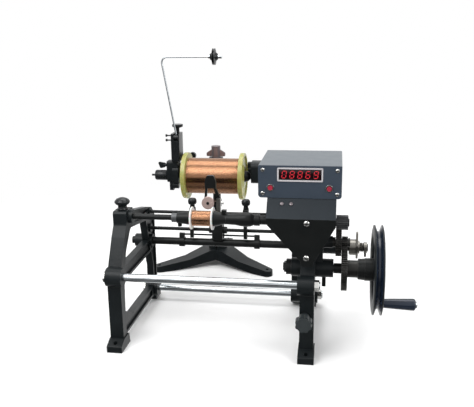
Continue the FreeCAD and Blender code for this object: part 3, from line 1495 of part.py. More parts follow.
def tension_thumb():
    """Thumb screw on top of the tensioner, which sets its drag."""
    top = tension_bottom + tension_height
    stud = tension_stud_radius
    x = tension_left + tension_width - 6.5
    y = tension_front + 19
    return turned_z(x, y, [
        (0, top - 10), (stud, top - 10), (stud, top + slide_gap), (3.5, top + slide_gap), (3.5, top + 9),
        (10.4, top + 12), (10.4, top + 16.5), (0, top + 16.5),
    ])


def tension_arm():
    """Sprung wire arm: it rises from its pivot hub, bends over and holds the arm pulley."""
    pulley_right = arm_pulley_left + arm_pulley_width
    base = Vector(arm_base_x, arm_y, arm_pivot_z)
    corner = Vector(arm_bend_x, arm_y, arm_top_z)
    end = Vector(pulley_right + 6, arm_y, arm_top_z)
    up = (corner - base).normalize()
    along = (end - corner).normalize()
    half = math.pi / 2 - up.getAngle(along) / 2
    reach = arm_bend_radius / math.tan(half)
    start = corner - up * reach
    finish = corner + along * reach
    inward = (along - up).normalize()
    middle = corner + inward * (arm_bend_radius / math.sin(half) - arm_bend_radius)
    path = Part.Wire([
        Part.LineSegment(base, start).toShape(), Part.Arc(start, middle, finish).toShape(),
        Part.LineSegment(finish, end).toShape(),
    ])
    section = Part.Wire(Part.makeCircle(arm_rod_radius, base, up))
    rod = path.makePipeShell([section], True, False)
    hub = rod_x(arm_y, arm_pivot_z, arm_hub_radius, arm_slot_left + slide_gap, arm_slot_right - slide_gap)
    collar = rod_x(arm_y, arm_top_z, 3.2, arm_pulley_left - slide_gap - 3, arm_pulley_left - slide_gap)
    nut = rod_x(arm_y, arm_top_z, 3.75, pulley_right + slide_gap, pulley_right + 7)
    body = fused(rod, hub, collar, nut)
    return body.cut(rod_x(arm_y, arm_pivot_z, arm_pivot_radius + running_gap, arm_slot_left, arm_slot_right))


def arm_pulley():
    """Grooved pulley at the arm's end."""
    low = arm_pulley_left
    high = low + arm_pulley_width
    middle = (low + high) / 2
    bore = arm_rod_radius + running_gap
    half = [(0.4, 10), (1.1, arm_pulley_radius), (2.2, arm_pulley_radius), (3.8, 8)]
    outline = [(low, bore), (low, 5)]
    outline += [(middle - x, radius) for x, radius in reversed(half)]
    outline += [(middle + x, radius) for x, radius in half]
    outline += [(high, 5), (high, bore)]
    return turned_x(arm_y, arm_top_z, outline)


NODES = {
    "left_stand": left_stand,
    "right_stand": right_stand,
    "tie_rods": tie_rods,
    "tie_rod_nuts": tie_rod_nuts,
    "tail_quill": tail_quill,
    "left_cone": left_cone,
    "tail_lock_knob": tail_lock_knob,
    "bobbin": bobbin,
    "bobbin_winding": bobbin_winding,
    "right_cone": right_cone,
    "cone_set_screw": cone_set_screw,
    "drive_chuck": drive_chuck,
    "spindle_shaft": spindle_shaft,
    "magnet_collar": magnet_collar,
    "spindle_pinion": spindle_pinion,
    "idler_stud": idler_stud,
    "idler_gear": idler_gear,
    "crank_shaft": crank_shaft,
    "crank_gear": crank_gear,
    "crank_boss_screw": crank_boss_screw,
    "wheel_hub": wheel_hub,
    "hand_wheel": hand_wheel,
    "handle_pin": handle_pin,
    "handle_grip": handle_grip,
    "stop_rod": stop_rod,
    "guide_rod": guide_rod,
    "shift_rail": shift_rail,
    "trip_rod": trip_rod,
    "release_hub": release_hub,
    "release_lever": release_lever,
    "rail_spring": rail_spring,
    "rail_nut": rail_nut,
    "carriage": carriage,
    "guide_arm": guide_arm,
    "guide_pulley": guide_pulley,
    "left_stop": lambda: travel_stop(left_stop_x),
    "left_stop_knob": lambda: stop_knob(left_stop_x),
    "right_stop": lambda: travel_stop(right_stop_x),
    "right_stop_knob": lambda: stop_knob(right_stop_x),
    "counter_bracket": counter_bracket,
    "counter_case": counter_case,
    "front_panel": front_panel,
    "display_window": display_window,
    "power_button": lambda: push_button(0),
    "reset_button": lambda: push_button(1),
    "button_switches": button_switches,
    "counter_screws": counter_screws,
    "count_sensor": count_sensor,
    "leg_knob": leg_knob,
    "stand_base": stand_base,
    "stand_post": stand_post,
    "spool_yoke": spool_yoke,
    "post_nut": post_nut,
    "spool_axle": spool_axle,
    "supply_spool": supply_spool,
    "supply_winding": supply_winding,
    "tensioner_case": tensioner_case,
    "tension_thumb": tension_thumb,
    "tension_arm": tension_arm,
    "arm_pulley": arm_pulley,
}

os.makedirs("parts", exist_ok=True)
for name, make in NODES.items():
    make().exportStep(f"parts/{name}.step")
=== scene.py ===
# %% [markdown]
# # A hand-cranked coil winding machine
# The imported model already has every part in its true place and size, so this lesson is about looks:
# the camera, the light, the finishes, and the small shapes that a plain solid lacks, such as fine
# wire, lit digits, screw slots and rounded edges. Everything is in metres, with +Z up.

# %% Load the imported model
import bmesh
import bpy
import json
import math
from mathutils import Matrix, Vector


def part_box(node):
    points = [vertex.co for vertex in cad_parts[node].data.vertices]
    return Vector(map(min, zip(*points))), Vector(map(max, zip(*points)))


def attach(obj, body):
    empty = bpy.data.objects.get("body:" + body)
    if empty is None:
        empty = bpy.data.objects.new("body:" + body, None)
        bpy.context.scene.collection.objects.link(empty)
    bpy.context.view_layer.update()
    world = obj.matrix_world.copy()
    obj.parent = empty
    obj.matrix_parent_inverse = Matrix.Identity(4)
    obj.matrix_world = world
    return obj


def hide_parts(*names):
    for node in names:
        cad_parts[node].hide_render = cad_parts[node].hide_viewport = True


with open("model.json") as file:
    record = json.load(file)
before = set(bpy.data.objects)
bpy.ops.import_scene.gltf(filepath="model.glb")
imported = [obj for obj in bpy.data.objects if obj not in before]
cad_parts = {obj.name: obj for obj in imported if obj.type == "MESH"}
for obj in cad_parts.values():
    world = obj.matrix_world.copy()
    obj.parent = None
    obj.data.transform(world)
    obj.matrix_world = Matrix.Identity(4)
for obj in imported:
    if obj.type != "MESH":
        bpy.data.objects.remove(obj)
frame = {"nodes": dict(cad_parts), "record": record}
nodes = frame["nodes"]
record = frame["record"]
body_of_node = {node: body for body, members in record["behaviour"]["bodies"].items() for node in members}
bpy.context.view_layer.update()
print("parts in the model:", len(nodes))

# %% [markdown]
# The camera stands a little to the right of the machine and looks slightly down. Its place and lens
# were worked out from the photograph's own straight lines, so pieces fall on the same spots. The
# picture is 474 by 407 pixels, and a 36 mm sensor with this lens gives the right field of view.

# %% Camera
right = Vector((0.98846, 0.15088, -0.01355))
down = Vector((0.02511, -0.25137, -0.96757))
forward = Vector((-0.14939, 0.95606, -0.25225))
camera_place = Vector((0.1823, -0.9832, 0.4687))
camera_data = bpy.data.cameras.new("camera")
camera_data.sensor_width = 36
camera_data.lens = 49.37
camera_data.clip_start = 0.05
camera = bpy.data.objects.new("camera", camera_data)
turn = Matrix((right, -down, -forward)).transposed().to_4x4()
camera.matrix_world = Matrix.Translation(camera_place) @ turn
bpy.context.scene.collection.objects.link(camera)
bpy.context.scene.camera = camera
bpy.context.scene.view_settings.view_transform = "Standard"

# %% [markdown]
# Materials are graphs of nodes. Two small helpers keep the graphs readable: one adds a node and sets
# its inputs, the other starts a material whose Principled shader is ready to be fed.

# %% Helpers for node graphs
def add_node(tree, kind, **inputs):
    """A new node. Inputs are named with _ for a space; a (node, output) pair is linked, a value is set."""
    made = tree.nodes.new(kind)
    for name, value in inputs.items():
        key = int(name[1:]) if name[0] == "_" else name.replace("_", " ")
        if isinstance(value, tuple) and len(value) == 2 and isinstance(value[0], bpy.types.Node):
            tree.links.new(value[0].outputs[value[1]], made.inputs[key])
        else:
            made.inputs[key].default_value = value
    return made


def calculate(tree, operation, first, second=0.0, third=0.0, clamp=False):
    """A math node, given back as a (node, output) pair that can feed the next one."""
    made = add_node(tree, "ShaderNodeMath", _0=first, _1=second, _2=third)
    made.operation = operation
    made.use_clamp = clamp
    return made, 0


def colour_mix(tree, share, first, second):
    """A mix of two colours. Each input is a value or a (node, output) pair."""
    made = tree.nodes.new("ShaderNodeMix")
    made.data_type = "RGBA"
    for key, value in ((0, share), (6, first), (7, second)):
        if isinstance(value, tuple) and isinstance(value[0], bpy.types.Node):
            tree.links.new(value[0].outputs[value[1]], made.inputs[key])
        else:
            made.inputs[key].default_value = value
    return made, 2


def new_material(name, **settings):
    """A material with an empty Principled shader; settings are values on the shader's own sockets."""
    material = bpy.data.materials.new(name)
    material.use_nodes = True
    shader = material.node_tree.nodes["Principled BSDF"]
    for key, value in settings.items():
        shader.inputs[key.replace("_", " ")].default_value = value
    return material, material.node_tree, shader


def feed(tree, shader, **sources):
    """Links (node, output) pairs to the shader's own sockets."""
    for key, (source, output) in sources.items():
        tree.links.new(source.outputs[output], shader.inputs[key.replace("_", " ")])


def group_tree(name, inputs, outputs):
    """An empty node group with float inputs and outputs, and its two end nodes."""
    tree = bpy.data.node_groups.new(name, "ShaderNodeTree")
    for title, value in inputs:
        socket = tree.interface.new_socket(title, in_out="INPUT", socket_type="NodeSocketFloat")
        socket.default_value = value
    for title, kind in outputs:
        tree.interface.new_socket(title, in_out="OUTPUT", socket_type=kind)
    return tree, tree.nodes.new("NodeGroupInput"), tree.nodes.new("NodeGroupOutput")


def place_group(tree, group, **values):
    """One use of a node group, with its own values."""
    made = tree.nodes.new("ShaderNodeGroup")
    made.node_tree = group
    for key, value in values.items():
        made.inputs[key.replace("_", " ")].default_value = value
    return made

# %% [markdown]
# Paint and plating rub thin on edges first. A Bevel node returns the normal of a softly rounded
# version of the surface. Where that differs from the true normal there is an edge, and noise breaks
# the mask up so that the wear looks used rather than drawn. It is one group for every finish.

# %% Shared group: worn edges
edge_gain = 9.0
patch_contrast = 3.0
edge_wear, wear_in, wear_out = group_tree(
    "worn edges", (("Radius", 0.0008), ("Amount", 0.6), ("Patchiness", 90.0)), (("Mask", "NodeSocketFloat"),)
)
rounded = edge_wear.nodes.new("ShaderNodeBevel")
rounded.samples = 4
edge_wear.links.new(wear_in.outputs["Radius"], rounded.inputs["Radius"])
true_normal = edge_wear.nodes.new("ShaderNodeNewGeometry")
agreement = edge_wear.nodes.new("ShaderNodeVectorMath")
agreement.operation = "DOT_PRODUCT"
edge_wear.links.new(rounded.outputs[0], agreement.inputs[0])
edge_wear.links.new(true_normal.outputs["Normal"], agreement.inputs[1])
edge = calculate(edge_wear, "SUBTRACT", 1.0, (agreement, "Value"))
edge = calculate(edge_wear, "MULTIPLY", edge, edge_gain, clamp=True)
where = edge_wear.nodes.new("ShaderNodeTexCoord")
patches = add_node(
    edge_wear, "ShaderNodeTexNoise", Vector=(where, "Object"), Detail=4.0, Scale=(wear_in, "Patchiness"),
)
patches = calculate(edge_wear, "MULTIPLY_ADD", (patches, 0), patch_contrast, -1.0, clamp=True)
edge = calculate(edge_wear, "MULTIPLY", edge, patches)
edge = calculate(edge_wear, "MULTIPLY", edge, (wear_in, "Amount"), clamp=True)
edge_wear.links.new(edge[0].outputs[0], wear_out.inputs["Mask"])

# %% [markdown]
# Sand casting and sprayed enamel leave a skin that is never flat: broad waves from the mould and a
# fine orange peel from the spray. Turned steel has the opposite, a set of even lines round its axis.
# They are the second and third shared groups. Each gives a height for bump and a tone for colour.

# %% Shared groups: sprayed skin and turned lines
height_and_tone = (("Height", "NodeSocketFloat"), ("Tone", "NodeSocketFloat"))
broad_over_fine = 3.0
sprayed_skin, skin_in, skin_out = group_tree(
    "sprayed skin", (("Fine", 700.0), ("Broad", 45.0)), height_and_tone,
)
where = sprayed_skin.nodes.new("ShaderNodeTexCoord")
fine, broad = (
    add_node(
        sprayed_skin, "ShaderNodeTexNoise", Vector=(where, "Object"), Detail=detail, Scale=(skin_in, size),
    )
    for size, detail in (("Fine", 2.0), ("Broad", 5.0))
)
height = calculate(sprayed_skin, "MULTIPLY_ADD", (broad, 0), broad_over_fine, (fine, 0))
sprayed_skin.links.new(height[0].outputs[0], skin_out.inputs["Height"])
sprayed_skin.links.new(broad.outputs[0], skin_out.inputs["Tone"])

round_stretch = 0.03
turned_lines, lines_in, lines_out = group_tree(
    "turned lines", (("Spacing", 2500.0), ("Smudge", 60.0)), height_and_tone,
)
where = turned_lines.nodes.new("ShaderNodeTexCoord")
along = add_node(
    turned_lines, "ShaderNodeMapping", Vector=(where, "Object"), Scale=(1.0, round_stretch, round_stretch),
)
lines = add_node(
    turned_lines, "ShaderNodeTexNoise", Vector=(along, 0), Detail=3.0, Scale=(lines_in, "Spacing"),
)
smudge = add_node(
    turned_lines, "ShaderNodeTexNoise", Vector=(where, "Object"), Detail=4.0, Scale=(lines_in, "Smudge"),
)
turned_lines.links.new(lines.outputs[0], lines_out.inputs["Height"])
turned_lines.links.new(smudge.outputs[0], lines_out.inputs["Tone"])

# %% [markdown]
# Nearly every part here is black, yet no two blacks are the same. The castings have enamel with a
# soft shine, the shafts and gears have oil-blackened steel that still reflects a little like metal,
# and the knobs have moulded resin. One function mixes two base tones, a worn edge and a bump.
#
# A row gives the two tones, the tone of worn edges and the roughness. Its second line gives the skin,
# the strength and depth of its bump, the wear, and any other value of the shader.

# %% Finishes: enamel and metals
rough_spread = 0.12


def surface(name, tone, second_tone, worn_tone, rough, skin, bump, wear, **settings):
    """A finish from two tones mixed by the skin's pattern, with a third tone on worn edges."""
    material, tree, shader = new_material(name, **settings)
    group, scales = skin
    pattern = place_group(tree, group, **scales)
    mask = place_group(tree, edge_wear, **wear)
    colour = colour_mix(tree, (pattern, "Tone"), (*tone, 1), (*second_tone, 1))
    colour = colour_mix(tree, (mask, "Mask"), colour, (*worn_tone, 1))
    roughness = calculate(tree, "MULTIPLY_ADD", (pattern, "Tone"), rough_spread, rough - rough_spread / 2)
    strength, depth = bump
    relief = add_node(tree, "ShaderNodeBump", Strength=strength, Distance=depth, Height=(pattern, "Height"))
    feed(tree, shader, Base_Color=colour, Roughness=roughness, Normal=(relief, 0))
    return material


sprayed = (sprayed_skin, {})
cast = (sprayed_skin, {"Fine": 420.0, "Broad": 30.0})
turned = (turned_lines, {})
finishes = {
    "enamel": surface(
        "black enamel", (0.0045, 0.006, 0.0065), (0.010, 0.013, 0.0145), (0.055, 0.06, 0.062), 0.36,
        cast, (0.35, 0.0005), {"Amount": 0.3}, Specular_IOR_Level=0.17,
    ),
    "black_steel": surface(
        "blackened steel", (0.006, 0.007, 0.007), (0.014, 0.015, 0.015), (0.12, 0.12, 0.12), 0.36,
        turned, (0.15, 0.0001), {"Amount": 0.4}, Metallic=0.25, Specular_IOR_Level=0.18,
    ),
    "gear_steel": surface(
        "oiled gear steel", (0.016, 0.016, 0.015), (0.040, 0.039, 0.037), (0.26, 0.25, 0.24), 0.36,
        turned, (0.12, 0.0001), {"Amount": 0.7, "Radius": 0.0005}, Metallic=0.6, Specular_IOR_Level=0.3,
    ),
    "pinion_steel": surface(
        "dull pinion steel", (0.060, 0.062, 0.064), (0.10, 0.104, 0.108), (0.30, 0.30, 0.30), 0.40,
        turned, (0.12, 0.0001), {"Amount": 0.7, "Radius": 0.0005}, Metallic=0.5, Specular_IOR_Level=0.3,
    ),
    "grey_steel": surface(
        "aged steel", (0.15, 0.145, 0.13), (0.25, 0.24, 0.22), (0.45, 0.43, 0.40), 0.30,
        turned, (0.12, 0.0001), {"Amount": 0.5}, Metallic=0.95,
    ),
    "bright_steel": surface(
        "bright steel", (0.42, 0.45, 0.47), (0.56, 0.59, 0.61), (0.70, 0.72, 0.73), 0.20,
        turned, (0.08, 0.0001), {"Amount": 0.3}, Metallic=1.0,
    ),
    "nickel": surface(
        "nickel plate", (0.60, 0.60, 0.58), (0.72, 0.72, 0.70), (0.80, 0.79, 0.77), 0.16,
        sprayed, (0.05, 0.0002), {"Amount": 0.2}, Metallic=1.0,
    ),
    "warm_nickel": surface(
        "pinkish nickel", (0.46, 0.32, 0.29), (0.60, 0.46, 0.42), (0.76, 0.66, 0.62), 0.25,
        sprayed, (0.03, 0.0002), {"Amount": 0.5}, Metallic=0.3,
    ),
    "dark_nickel": surface(
        "dark nickel", (0.13, 0.11, 0.12), (0.20, 0.17, 0.18), (0.45, 0.42, 0.43), 0.30,
        sprayed, (0.03, 0.0002), {"Amount": 0.4}, Metallic=0.5,
    ),
}
print("enamel and metals:", ", ".join(finishes))

# %% Finishes: mouldings and paints
finishes.update({
    "resin": surface(
        "moulded resin", (0.005, 0.006, 0.007), (0.010, 0.012, 0.013), (0.05, 0.05, 0.055), 0.26,
        sprayed, (0.10, 0.0003), {"Amount": 0.2}, Specular_IOR_Level=0.28,
    ),
    "worn_resin": surface(
        "worn grey resin", (0.018, 0.023, 0.025), (0.030, 0.036, 0.038), (0.09, 0.10, 0.10), 0.40,
        sprayed, (0.10, 0.0003), {"Amount": 0.4}, Specular_IOR_Level=0.3,
    ),
    "grip": surface(
        "grip lacquer", (0.006, 0.011, 0.022), (0.010, 0.017, 0.033), (0.05, 0.055, 0.07), 0.26,
        sprayed, (0.10, 0.0003), {"Amount": 0.15}, Specular_IOR_Level=0.35, Coat_Weight=0.15,
        Coat_Roughness=0.12,
    ),
    "panel": surface(
        "panel paint", (0.026, 0.038, 0.056), (0.034, 0.047, 0.066), (0.14, 0.15, 0.16), 0.38,
        sprayed, (0.10, 0.0002), {"Amount": 0.15}, Specular_IOR_Level=0.4,
    ),
    "case": surface(
        "case paint", (0.040, 0.056, 0.072), (0.052, 0.070, 0.088), (0.18, 0.20, 0.21), 0.30,
        sprayed, (0.12, 0.0002), {"Amount": 0.25},
    ),
    "sheet": surface(
        "black sheet paint", (0.004, 0.005, 0.005), (0.007, 0.008, 0.008), (0.09, 0.09, 0.09), 0.45,
        sprayed, (0.10, 0.0002), {"Amount": 0.5}, Specular_IOR_Level=0.12,
    ),
    # A painted highlight: the bracket's upper band faces up towards the light, so it gets this lighter bluish
    # copy of the black sheet paint.
    "band": surface(
        "sheet paint with painted highlight", (0.011, 0.015, 0.019), (0.016, 0.021, 0.026), (0.12, 0.12, 0.12), 0.45,
        sprayed, (0.10, 0.0002), {"Amount": 0.5}, Specular_IOR_Level=0.15,
    ),
    "amber": surface(
        "amber moulding", (0.30, 0.29, 0.075), (0.38, 0.37, 0.11), (0.60, 0.60, 0.34), 0.28,
        sprayed, (0.06, 0.0003), {"Amount": 0.6}, Subsurface_Weight=0.2, Subsurface_Scale=0.004,
    ),
    "white": surface(
        "white moulding", (0.66, 0.66, 0.64), (0.74, 0.74, 0.72), (0.85, 0.85, 0.84), 0.35,
        sprayed, (0.06, 0.0003), {"Amount": 0.2}, Subsurface_Weight=0.15, Subsurface_Scale=0.002,
    ),
})
print("finishes so far:", len(finishes))

# %% Finishes: wire and counter
finishes.update({
    "copper": surface(
        "enamelled copper", (0.43, 0.235, 0.135), (0.52, 0.305, 0.185), (0.70, 0.42, 0.28), 0.15,
        sprayed, (0.0, 0.0002), {"Amount": 0.0}, Metallic=1.0,
    ),
    "silver_paint": surface(
        "silver paint", (0.52, 0.50, 0.52), (0.60, 0.58, 0.60), (0.75, 0.74, 0.75), 0.40,
        sprayed, (0.05, 0.0002), {"Amount": 0.2}, Metallic=0.3,
    ),
    "red": surface(
        "red cap", (0.27, 0.012, 0.032), (0.34, 0.020, 0.045), (0.62, 0.16, 0.18), 0.25,
        sprayed, (0.05, 0.0002), {"Amount": 0.1}, Coat_Weight=0.5, Coat_Roughness=0.1,
    ),
    "lens": surface(
        "display lens", (0.006, 0.001, 0.002), (0.011, 0.002, 0.003), (0.03, 0.004, 0.006), 0.16,
        sprayed, (0.02, 0.0001), {"Amount": 0.0}, Specular_IOR_Level=0.35,
    ),
    "lit": surface(
        "lit segment", (0.42, 0.010, 0.020), (0.52, 0.014, 0.028), (0.60, 0.05, 0.06), 0.35,
        sprayed, (0.02, 0.0001), {"Amount": 0.0}, Emission_Color=(1.0, 0.03, 0.05, 1),
        Emission_Strength=0.10,
    ),
    "unlit": surface(
        "unlit segment", (0.060, 0.004, 0.008), (0.085, 0.006, 0.011), (0.10, 0.01, 0.015), 0.35,
        sprayed, (0.02, 0.0001), {"Amount": 0.0},
    ),
})
print("all finishes:", len(finishes))

# %% [markdown]
# Each CAD part gets its finish from a short list. Parts of one finish are named together, as a
# painter would sort them before spraying.

# %% Which part has which finish
finish_of = {
    "enamel": ["left_stand", "right_stand", "stand_base", "spool_yoke", "hand_wheel"],
    "black_steel": [
        "tail_quill", "left_cone", "right_cone", "cone_set_screw", "drive_chuck", "spindle_shaft",
        "magnet_collar", "crank_shaft", "crank_boss_screw", "stop_rod", "guide_rod", "shift_rail", "trip_rod",
        "carriage", "guide_arm", "left_stop", "right_stop", "stand_post", "spool_axle", "wheel_hub",
    ],
    "gear_steel": ["idler_gear", "crank_gear", "idler_stud"],
    "pinion_steel": ["spindle_pinion"],
    "grey_steel": ["release_hub", "release_lever", "rail_nut", "rail_spring"],
    "bright_steel": ["tie_rods", "handle_pin", "tension_arm"],
    "nickel": ["tie_rod_nuts", "button_switches"],
    "warm_nickel": ["guide_pulley"],
    "dark_nickel": ["post_nut"],
    "resin": [
        "tail_lock_knob", "left_stop_knob", "right_stop_knob", "tensioner_case", "tension_thumb",
        "count_sensor", "arm_pulley",
    ],
    "worn_resin": ["leg_knob"],
    "grip": ["handle_grip"],
    "panel": ["front_panel"],
    "case": ["counter_case"],
    "sheet": ["counter_bracket"],
    "amber": ["supply_spool"],
    "white": ["bobbin"],
    "red": ["power_button", "reset_button"],
}
finish_by_node = {node: name for name, members in finish_of.items() for node in members}
print("parts with a finish:", len(finish_by_node))

# %% [markdown]
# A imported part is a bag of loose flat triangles. A finished copy merges them, joins those that lie in
# one plane, shades round walls smoothly and leaves true corners sharp. Many parts also get a rounded
# edge, because no casting or moulding has a perfect corner and the edge is where light catches.

# %% Finished copies of the CAD parts
weld_distance = 1e-6
flat_degrees = 0.5
crease_degrees = 32
rounded_from_degrees = 40


def link_piece(name, work, finish, body):
    """Turns a bmesh into an object that has its finish and rides on its body."""
    mesh = bpy.data.meshes.new(name)
    work.to_mesh(mesh)
    work.free()
    if "custom_normal" in mesh.attributes:
        mesh.attributes.remove(mesh.attributes["custom_normal"])
    mesh.materials.clear()
    mesh.materials.append(finishes[finish])
    piece = bpy.data.objects.new(name, mesh)
    bpy.context.scene.collection.objects.link(piece)
    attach(piece, body)
    return piece


def smooth_by_angle(work, degrees):
    """Smooth shading, except across edges that are sharper than an angle."""
    for face in work.faces:
        face.smooth = True
    for edge in work.edges:
        edge.smooth = len(edge.link_faces) == 2 and edge.calc_face_angle(0) < math.radians(degrees)


def finished_copy(node, rounding):
    """A welded, smoothly shaded copy of a CAD part, in its finish and with rounded edges."""
    work = bmesh.new()
    work.from_mesh(nodes[node].data)
    bmesh.ops.remove_doubles(work, verts=work.verts, dist=weld_distance)
    bmesh.ops.dissolve_limit(
        work, angle_limit=math.radians(flat_degrees), verts=work.verts, edges=work.edges,
    )
    smooth_by_angle(work, crease_degrees)
    for face in work.faces:
        face.material_index = 0
    finish = finish_by_node[node]
    piece = link_piece(f"finished_{node}", work, finish, body_of_node[node])
    if rounding:
        edges = piece.modifiers.new("rounded edges", "BEVEL")
        edges.width = rounding
        edges.segments = 2
        edges.limit_method = "ANGLE"
        edges.angle_limit = math.radians(rounded_from_degrees)
        edges.harden_normals = True
    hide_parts(node)
    return piece


rounding_of = {
    "left_stand": 0.0012, "right_stand": 0.0012, "stand_base": 0.0018, "spool_yoke": 0.0014,
    "counter_case": 0.0006, "front_panel": 0.0005, "counter_bracket": 0.0003, "button_switches": 0.0002,
    "carriage": 0.0006, "guide_arm": 0.0008, "left_stop": 0.0006, "right_stop": 0.0006,
    "left_stop_knob": 0.0006, "right_stop_knob": 0.0006, "tail_lock_knob": 0.0010, "leg_knob": 0.0012,
    "tie_rod_nuts": 0.0004, "cone_set_screw": 0.0005, "count_sensor": 0.0005, "release_lever": 0.0005,
    "hand_wheel": 0.0004, "handle_grip": 0.0012, "post_nut": 0.0006, "tensioner_case": 0.0006,
    "tension_thumb": 0.0005, "supply_spool": 0.0008, "bobbin": 0.0004,
}
made_below = {"supply_winding", "bobbin_winding", "counter_screws", "display_window"}
finished = {node: finished_copy(node, rounding_of.get(node, 0.0)) for node in sorted(set(nodes) - made_below)}
print("finished copies:", len(finished))

# %% [markdown]
# Some parts are finished in two ways. The wheel's hub is oily like the gear next to it and black
# beyond, and the axle's knob is resin on steel. Two are painted light: the wheel's groove gets the
# handle's bluish lacquer as a painted sheen, and the bracket's upper band, which faces up towards the
# light, gets a lighter bluish paint as a painted highlight. A second finish goes onto the faces whose
# centres pass a test, with no new geometry.

# %% Second finishes
def refinish(node, finish, test):
    """Gives the faces whose centre passes a test a second finish."""
    mesh = finished[node].data
    mesh.materials.append(finishes[finish])
    index = len(mesh.materials) - 1
    for face in mesh.polygons:
        if test(face.center):
            face.material_index = index


wheel_low, wheel_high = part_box("hand_wheel")
wheel_middle = (wheel_low + wheel_high) / 2
wheel_reach = wheel_high.z - wheel_middle.z
groove_depth = 0.011
rim_width = 0.001
groove_half_width = 0.0045


def in_painted_groove_sheen(at):
    radius = math.hypot(at.y - wheel_middle.y, at.z - wheel_middle.z)
    in_ring = wheel_reach - groove_depth < radius < wheel_reach - rim_width
    return in_ring and abs(at.x - wheel_middle.x) < groove_half_width


hub_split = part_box("wheel_hub")[0].x + 0.016
knob_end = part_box("spool_yoke")[0].x + 0.022
nut_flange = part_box("post_nut")[0].z + 0.0056
bracket_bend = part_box("right_stand")[1].z - 0.004
arm_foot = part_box("tensioner_case")[1].z + 0.002
post_foot = 0.166
clamp_screw_left = -0.0135
cone_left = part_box("left_cone")[0].x
collar_left = cone_left - 0.009
collar_right = cone_left - 0.0005
refinish("wheel_hub", "gear_steel", lambda at: at.x < hub_split)
refinish("spool_axle", "resin", lambda at: at.x < knob_end)
refinish("carriage", "grey_steel", lambda at: at.z > post_foot)
refinish("carriage", "nickel", lambda at: at.z > post_foot and at.x > clamp_screw_left)
refinish("post_nut", "resin", lambda at: at.z < nut_flange)
# A painted highlight: the bracket's upper band, which leans back towards the light, gets the lighter bluish
# copy of the sheet paint.
refinish("counter_bracket", "band", lambda at: at.z > bracket_bend)
refinish("tail_quill", "pinion_steel", lambda at: collar_left < at.x < collar_right)
refinish("tension_arm", "resin", lambda at: at.z < arm_foot)
# A painted sheen: the faces in the wheel's groove get the bluish grip lacquer to stand in for the bluish
# highlight there.
refinish("hand_wheel", "grip", in_painted_groove_sheen)
print("parts with a second finish:", sum(len(piece.data.materials) > 1 for piece in finished.values()))

# %% [markdown]
# Fine magnet wire is what makes the spools look real. The wire's small six-sided section is spun once
# about the spool's axis while it drifts sideways by one wire. Copies of that turn, each moved on by one
# wire and welded to the last, give one unbroken wire, much faster than spinning every turn.

# %% Wound wire
quarter_turn = math.radians(90)
wire_room = 1.02
wire_sides = 6
wire_crease_degrees = 75
wire_weld_share = 0.001
core_depth = 0.75


def turn_about(work, angle, axis, verts=None):
    """Turns a bmesh, or some of its vertices, about an axis through the origin."""
    matrix = Matrix.Rotation(angle, 3, axis)
    bmesh.ops.rotate(work, verts=verts or work.verts, cent=(0, 0, 0), matrix=matrix)


def wound_wire(name, node, wire, steps, body):
    """The outer layer of a winding as one wire: a turn is spun, and its copies are welded on."""
    low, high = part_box(node)
    centre = (low + high) / 2
    outer = (high.z - low.z) / 2
    travel = high.x - low.x - wire
    turns = int(travel / (wire * wire_room))
    pitch = travel / turns
    work = bmesh.new()
    bmesh.ops.create_circle(work, segments=wire_sides, radius=wire / 2)
    turn_about(work, quarter_turn, "X")
    bmesh.ops.translate(work, verts=work.verts, vec=(low.x + wire / 2, centre.y, centre.z + outer - wire / 2))
    bmesh.ops.spin(
        work, geom=list(work.verts) + list(work.edges), cent=centre, axis=(1, 0, 0),
        dvec=(pitch / steps, 0, 0), angle=2 * math.pi, steps=steps, use_merge=False, use_duplicate=False,
    )
    turn = list(work.verts) + list(work.edges) + list(work.faces)
    for index in range(1, turns):
        copy = bmesh.ops.duplicate(work, geom=turn)["geom"]
        moved = [item for item in copy if isinstance(item, bmesh.types.BMVert)]
        bmesh.ops.translate(work, verts=moved, vec=(pitch * index, 0, 0))
    bmesh.ops.remove_doubles(work, verts=work.verts, dist=pitch * wire_weld_share)
    bmesh.ops.holes_fill(work, edges=[edge for edge in work.edges if edge.is_boundary], sides=wire_sides)
    bmesh.ops.recalc_face_normals(work, faces=work.faces)
    smooth_by_angle(work, wire_crease_degrees)
    piece = link_piece(name, work, "copper", body)
    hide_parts(node)
    print(name, "turns", turns, "faces", len(piece.data.polygons))


def winding_core(name, node, wire, body):
    """Smooth copper under the outer layer, so that no light shows between the turns."""
    low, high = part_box(node)
    outer = (high.z - low.z) / 2 - wire * core_depth
    work = bmesh.new()
    bmesh.ops.create_cone(
        work, cap_ends=True, segments=64, radius1=outer, radius2=outer, depth=high.x - low.x,
    )
    turn_about(work, quarter_turn, "Y")
    bmesh.ops.translate(work, verts=work.verts, vec=(low + high) / 2)
    smooth_by_angle(work, crease_degrees)
    link_piece(name, work, "copper", body)


for spool, wire, steps, body in (("supply", 0.0009, 40, "supply"), ("bobbin", 0.0006, 32, "spindle")):
    wound_wire(f"{spool}_wire", f"{spool}_winding", wire, steps, body)
    winding_core(f"{spool}_core", f"{spool}_winding", wire, body)

# %% [markdown]
# The screws of the counter and its bracket have domed heads with a driver slot. A disc grows into a
# dome by extruding and shrinking its top. The first two discs stay, as the head's back and the slot's
# floor. Two planes cut a strip across the dome, and the strip's faces are extruded down to the rim.
# The head is made lying on the ground and then turned to face outwards.

# %% Slotted screws
rim_share = 0.45
dome = ((1.0, rim_share), (0.93, 0.22), (0.85, 0.16), (0.72, 0.11), (0.5, 0.06))
slot_share = 0.14
strip_share = 0.13
screw_crease_degrees = 40


def extruded(work, faces):
    """Extrudes faces in place, and gives back the new vertices and the new faces."""
    made = bmesh.ops.extrude_face_region(work, geom=faces)["geom"]
    verts = [item for item in made if isinstance(item, bmesh.types.BMVert)]
    return verts, [item for item in made if isinstance(item, bmesh.types.BMFace)]


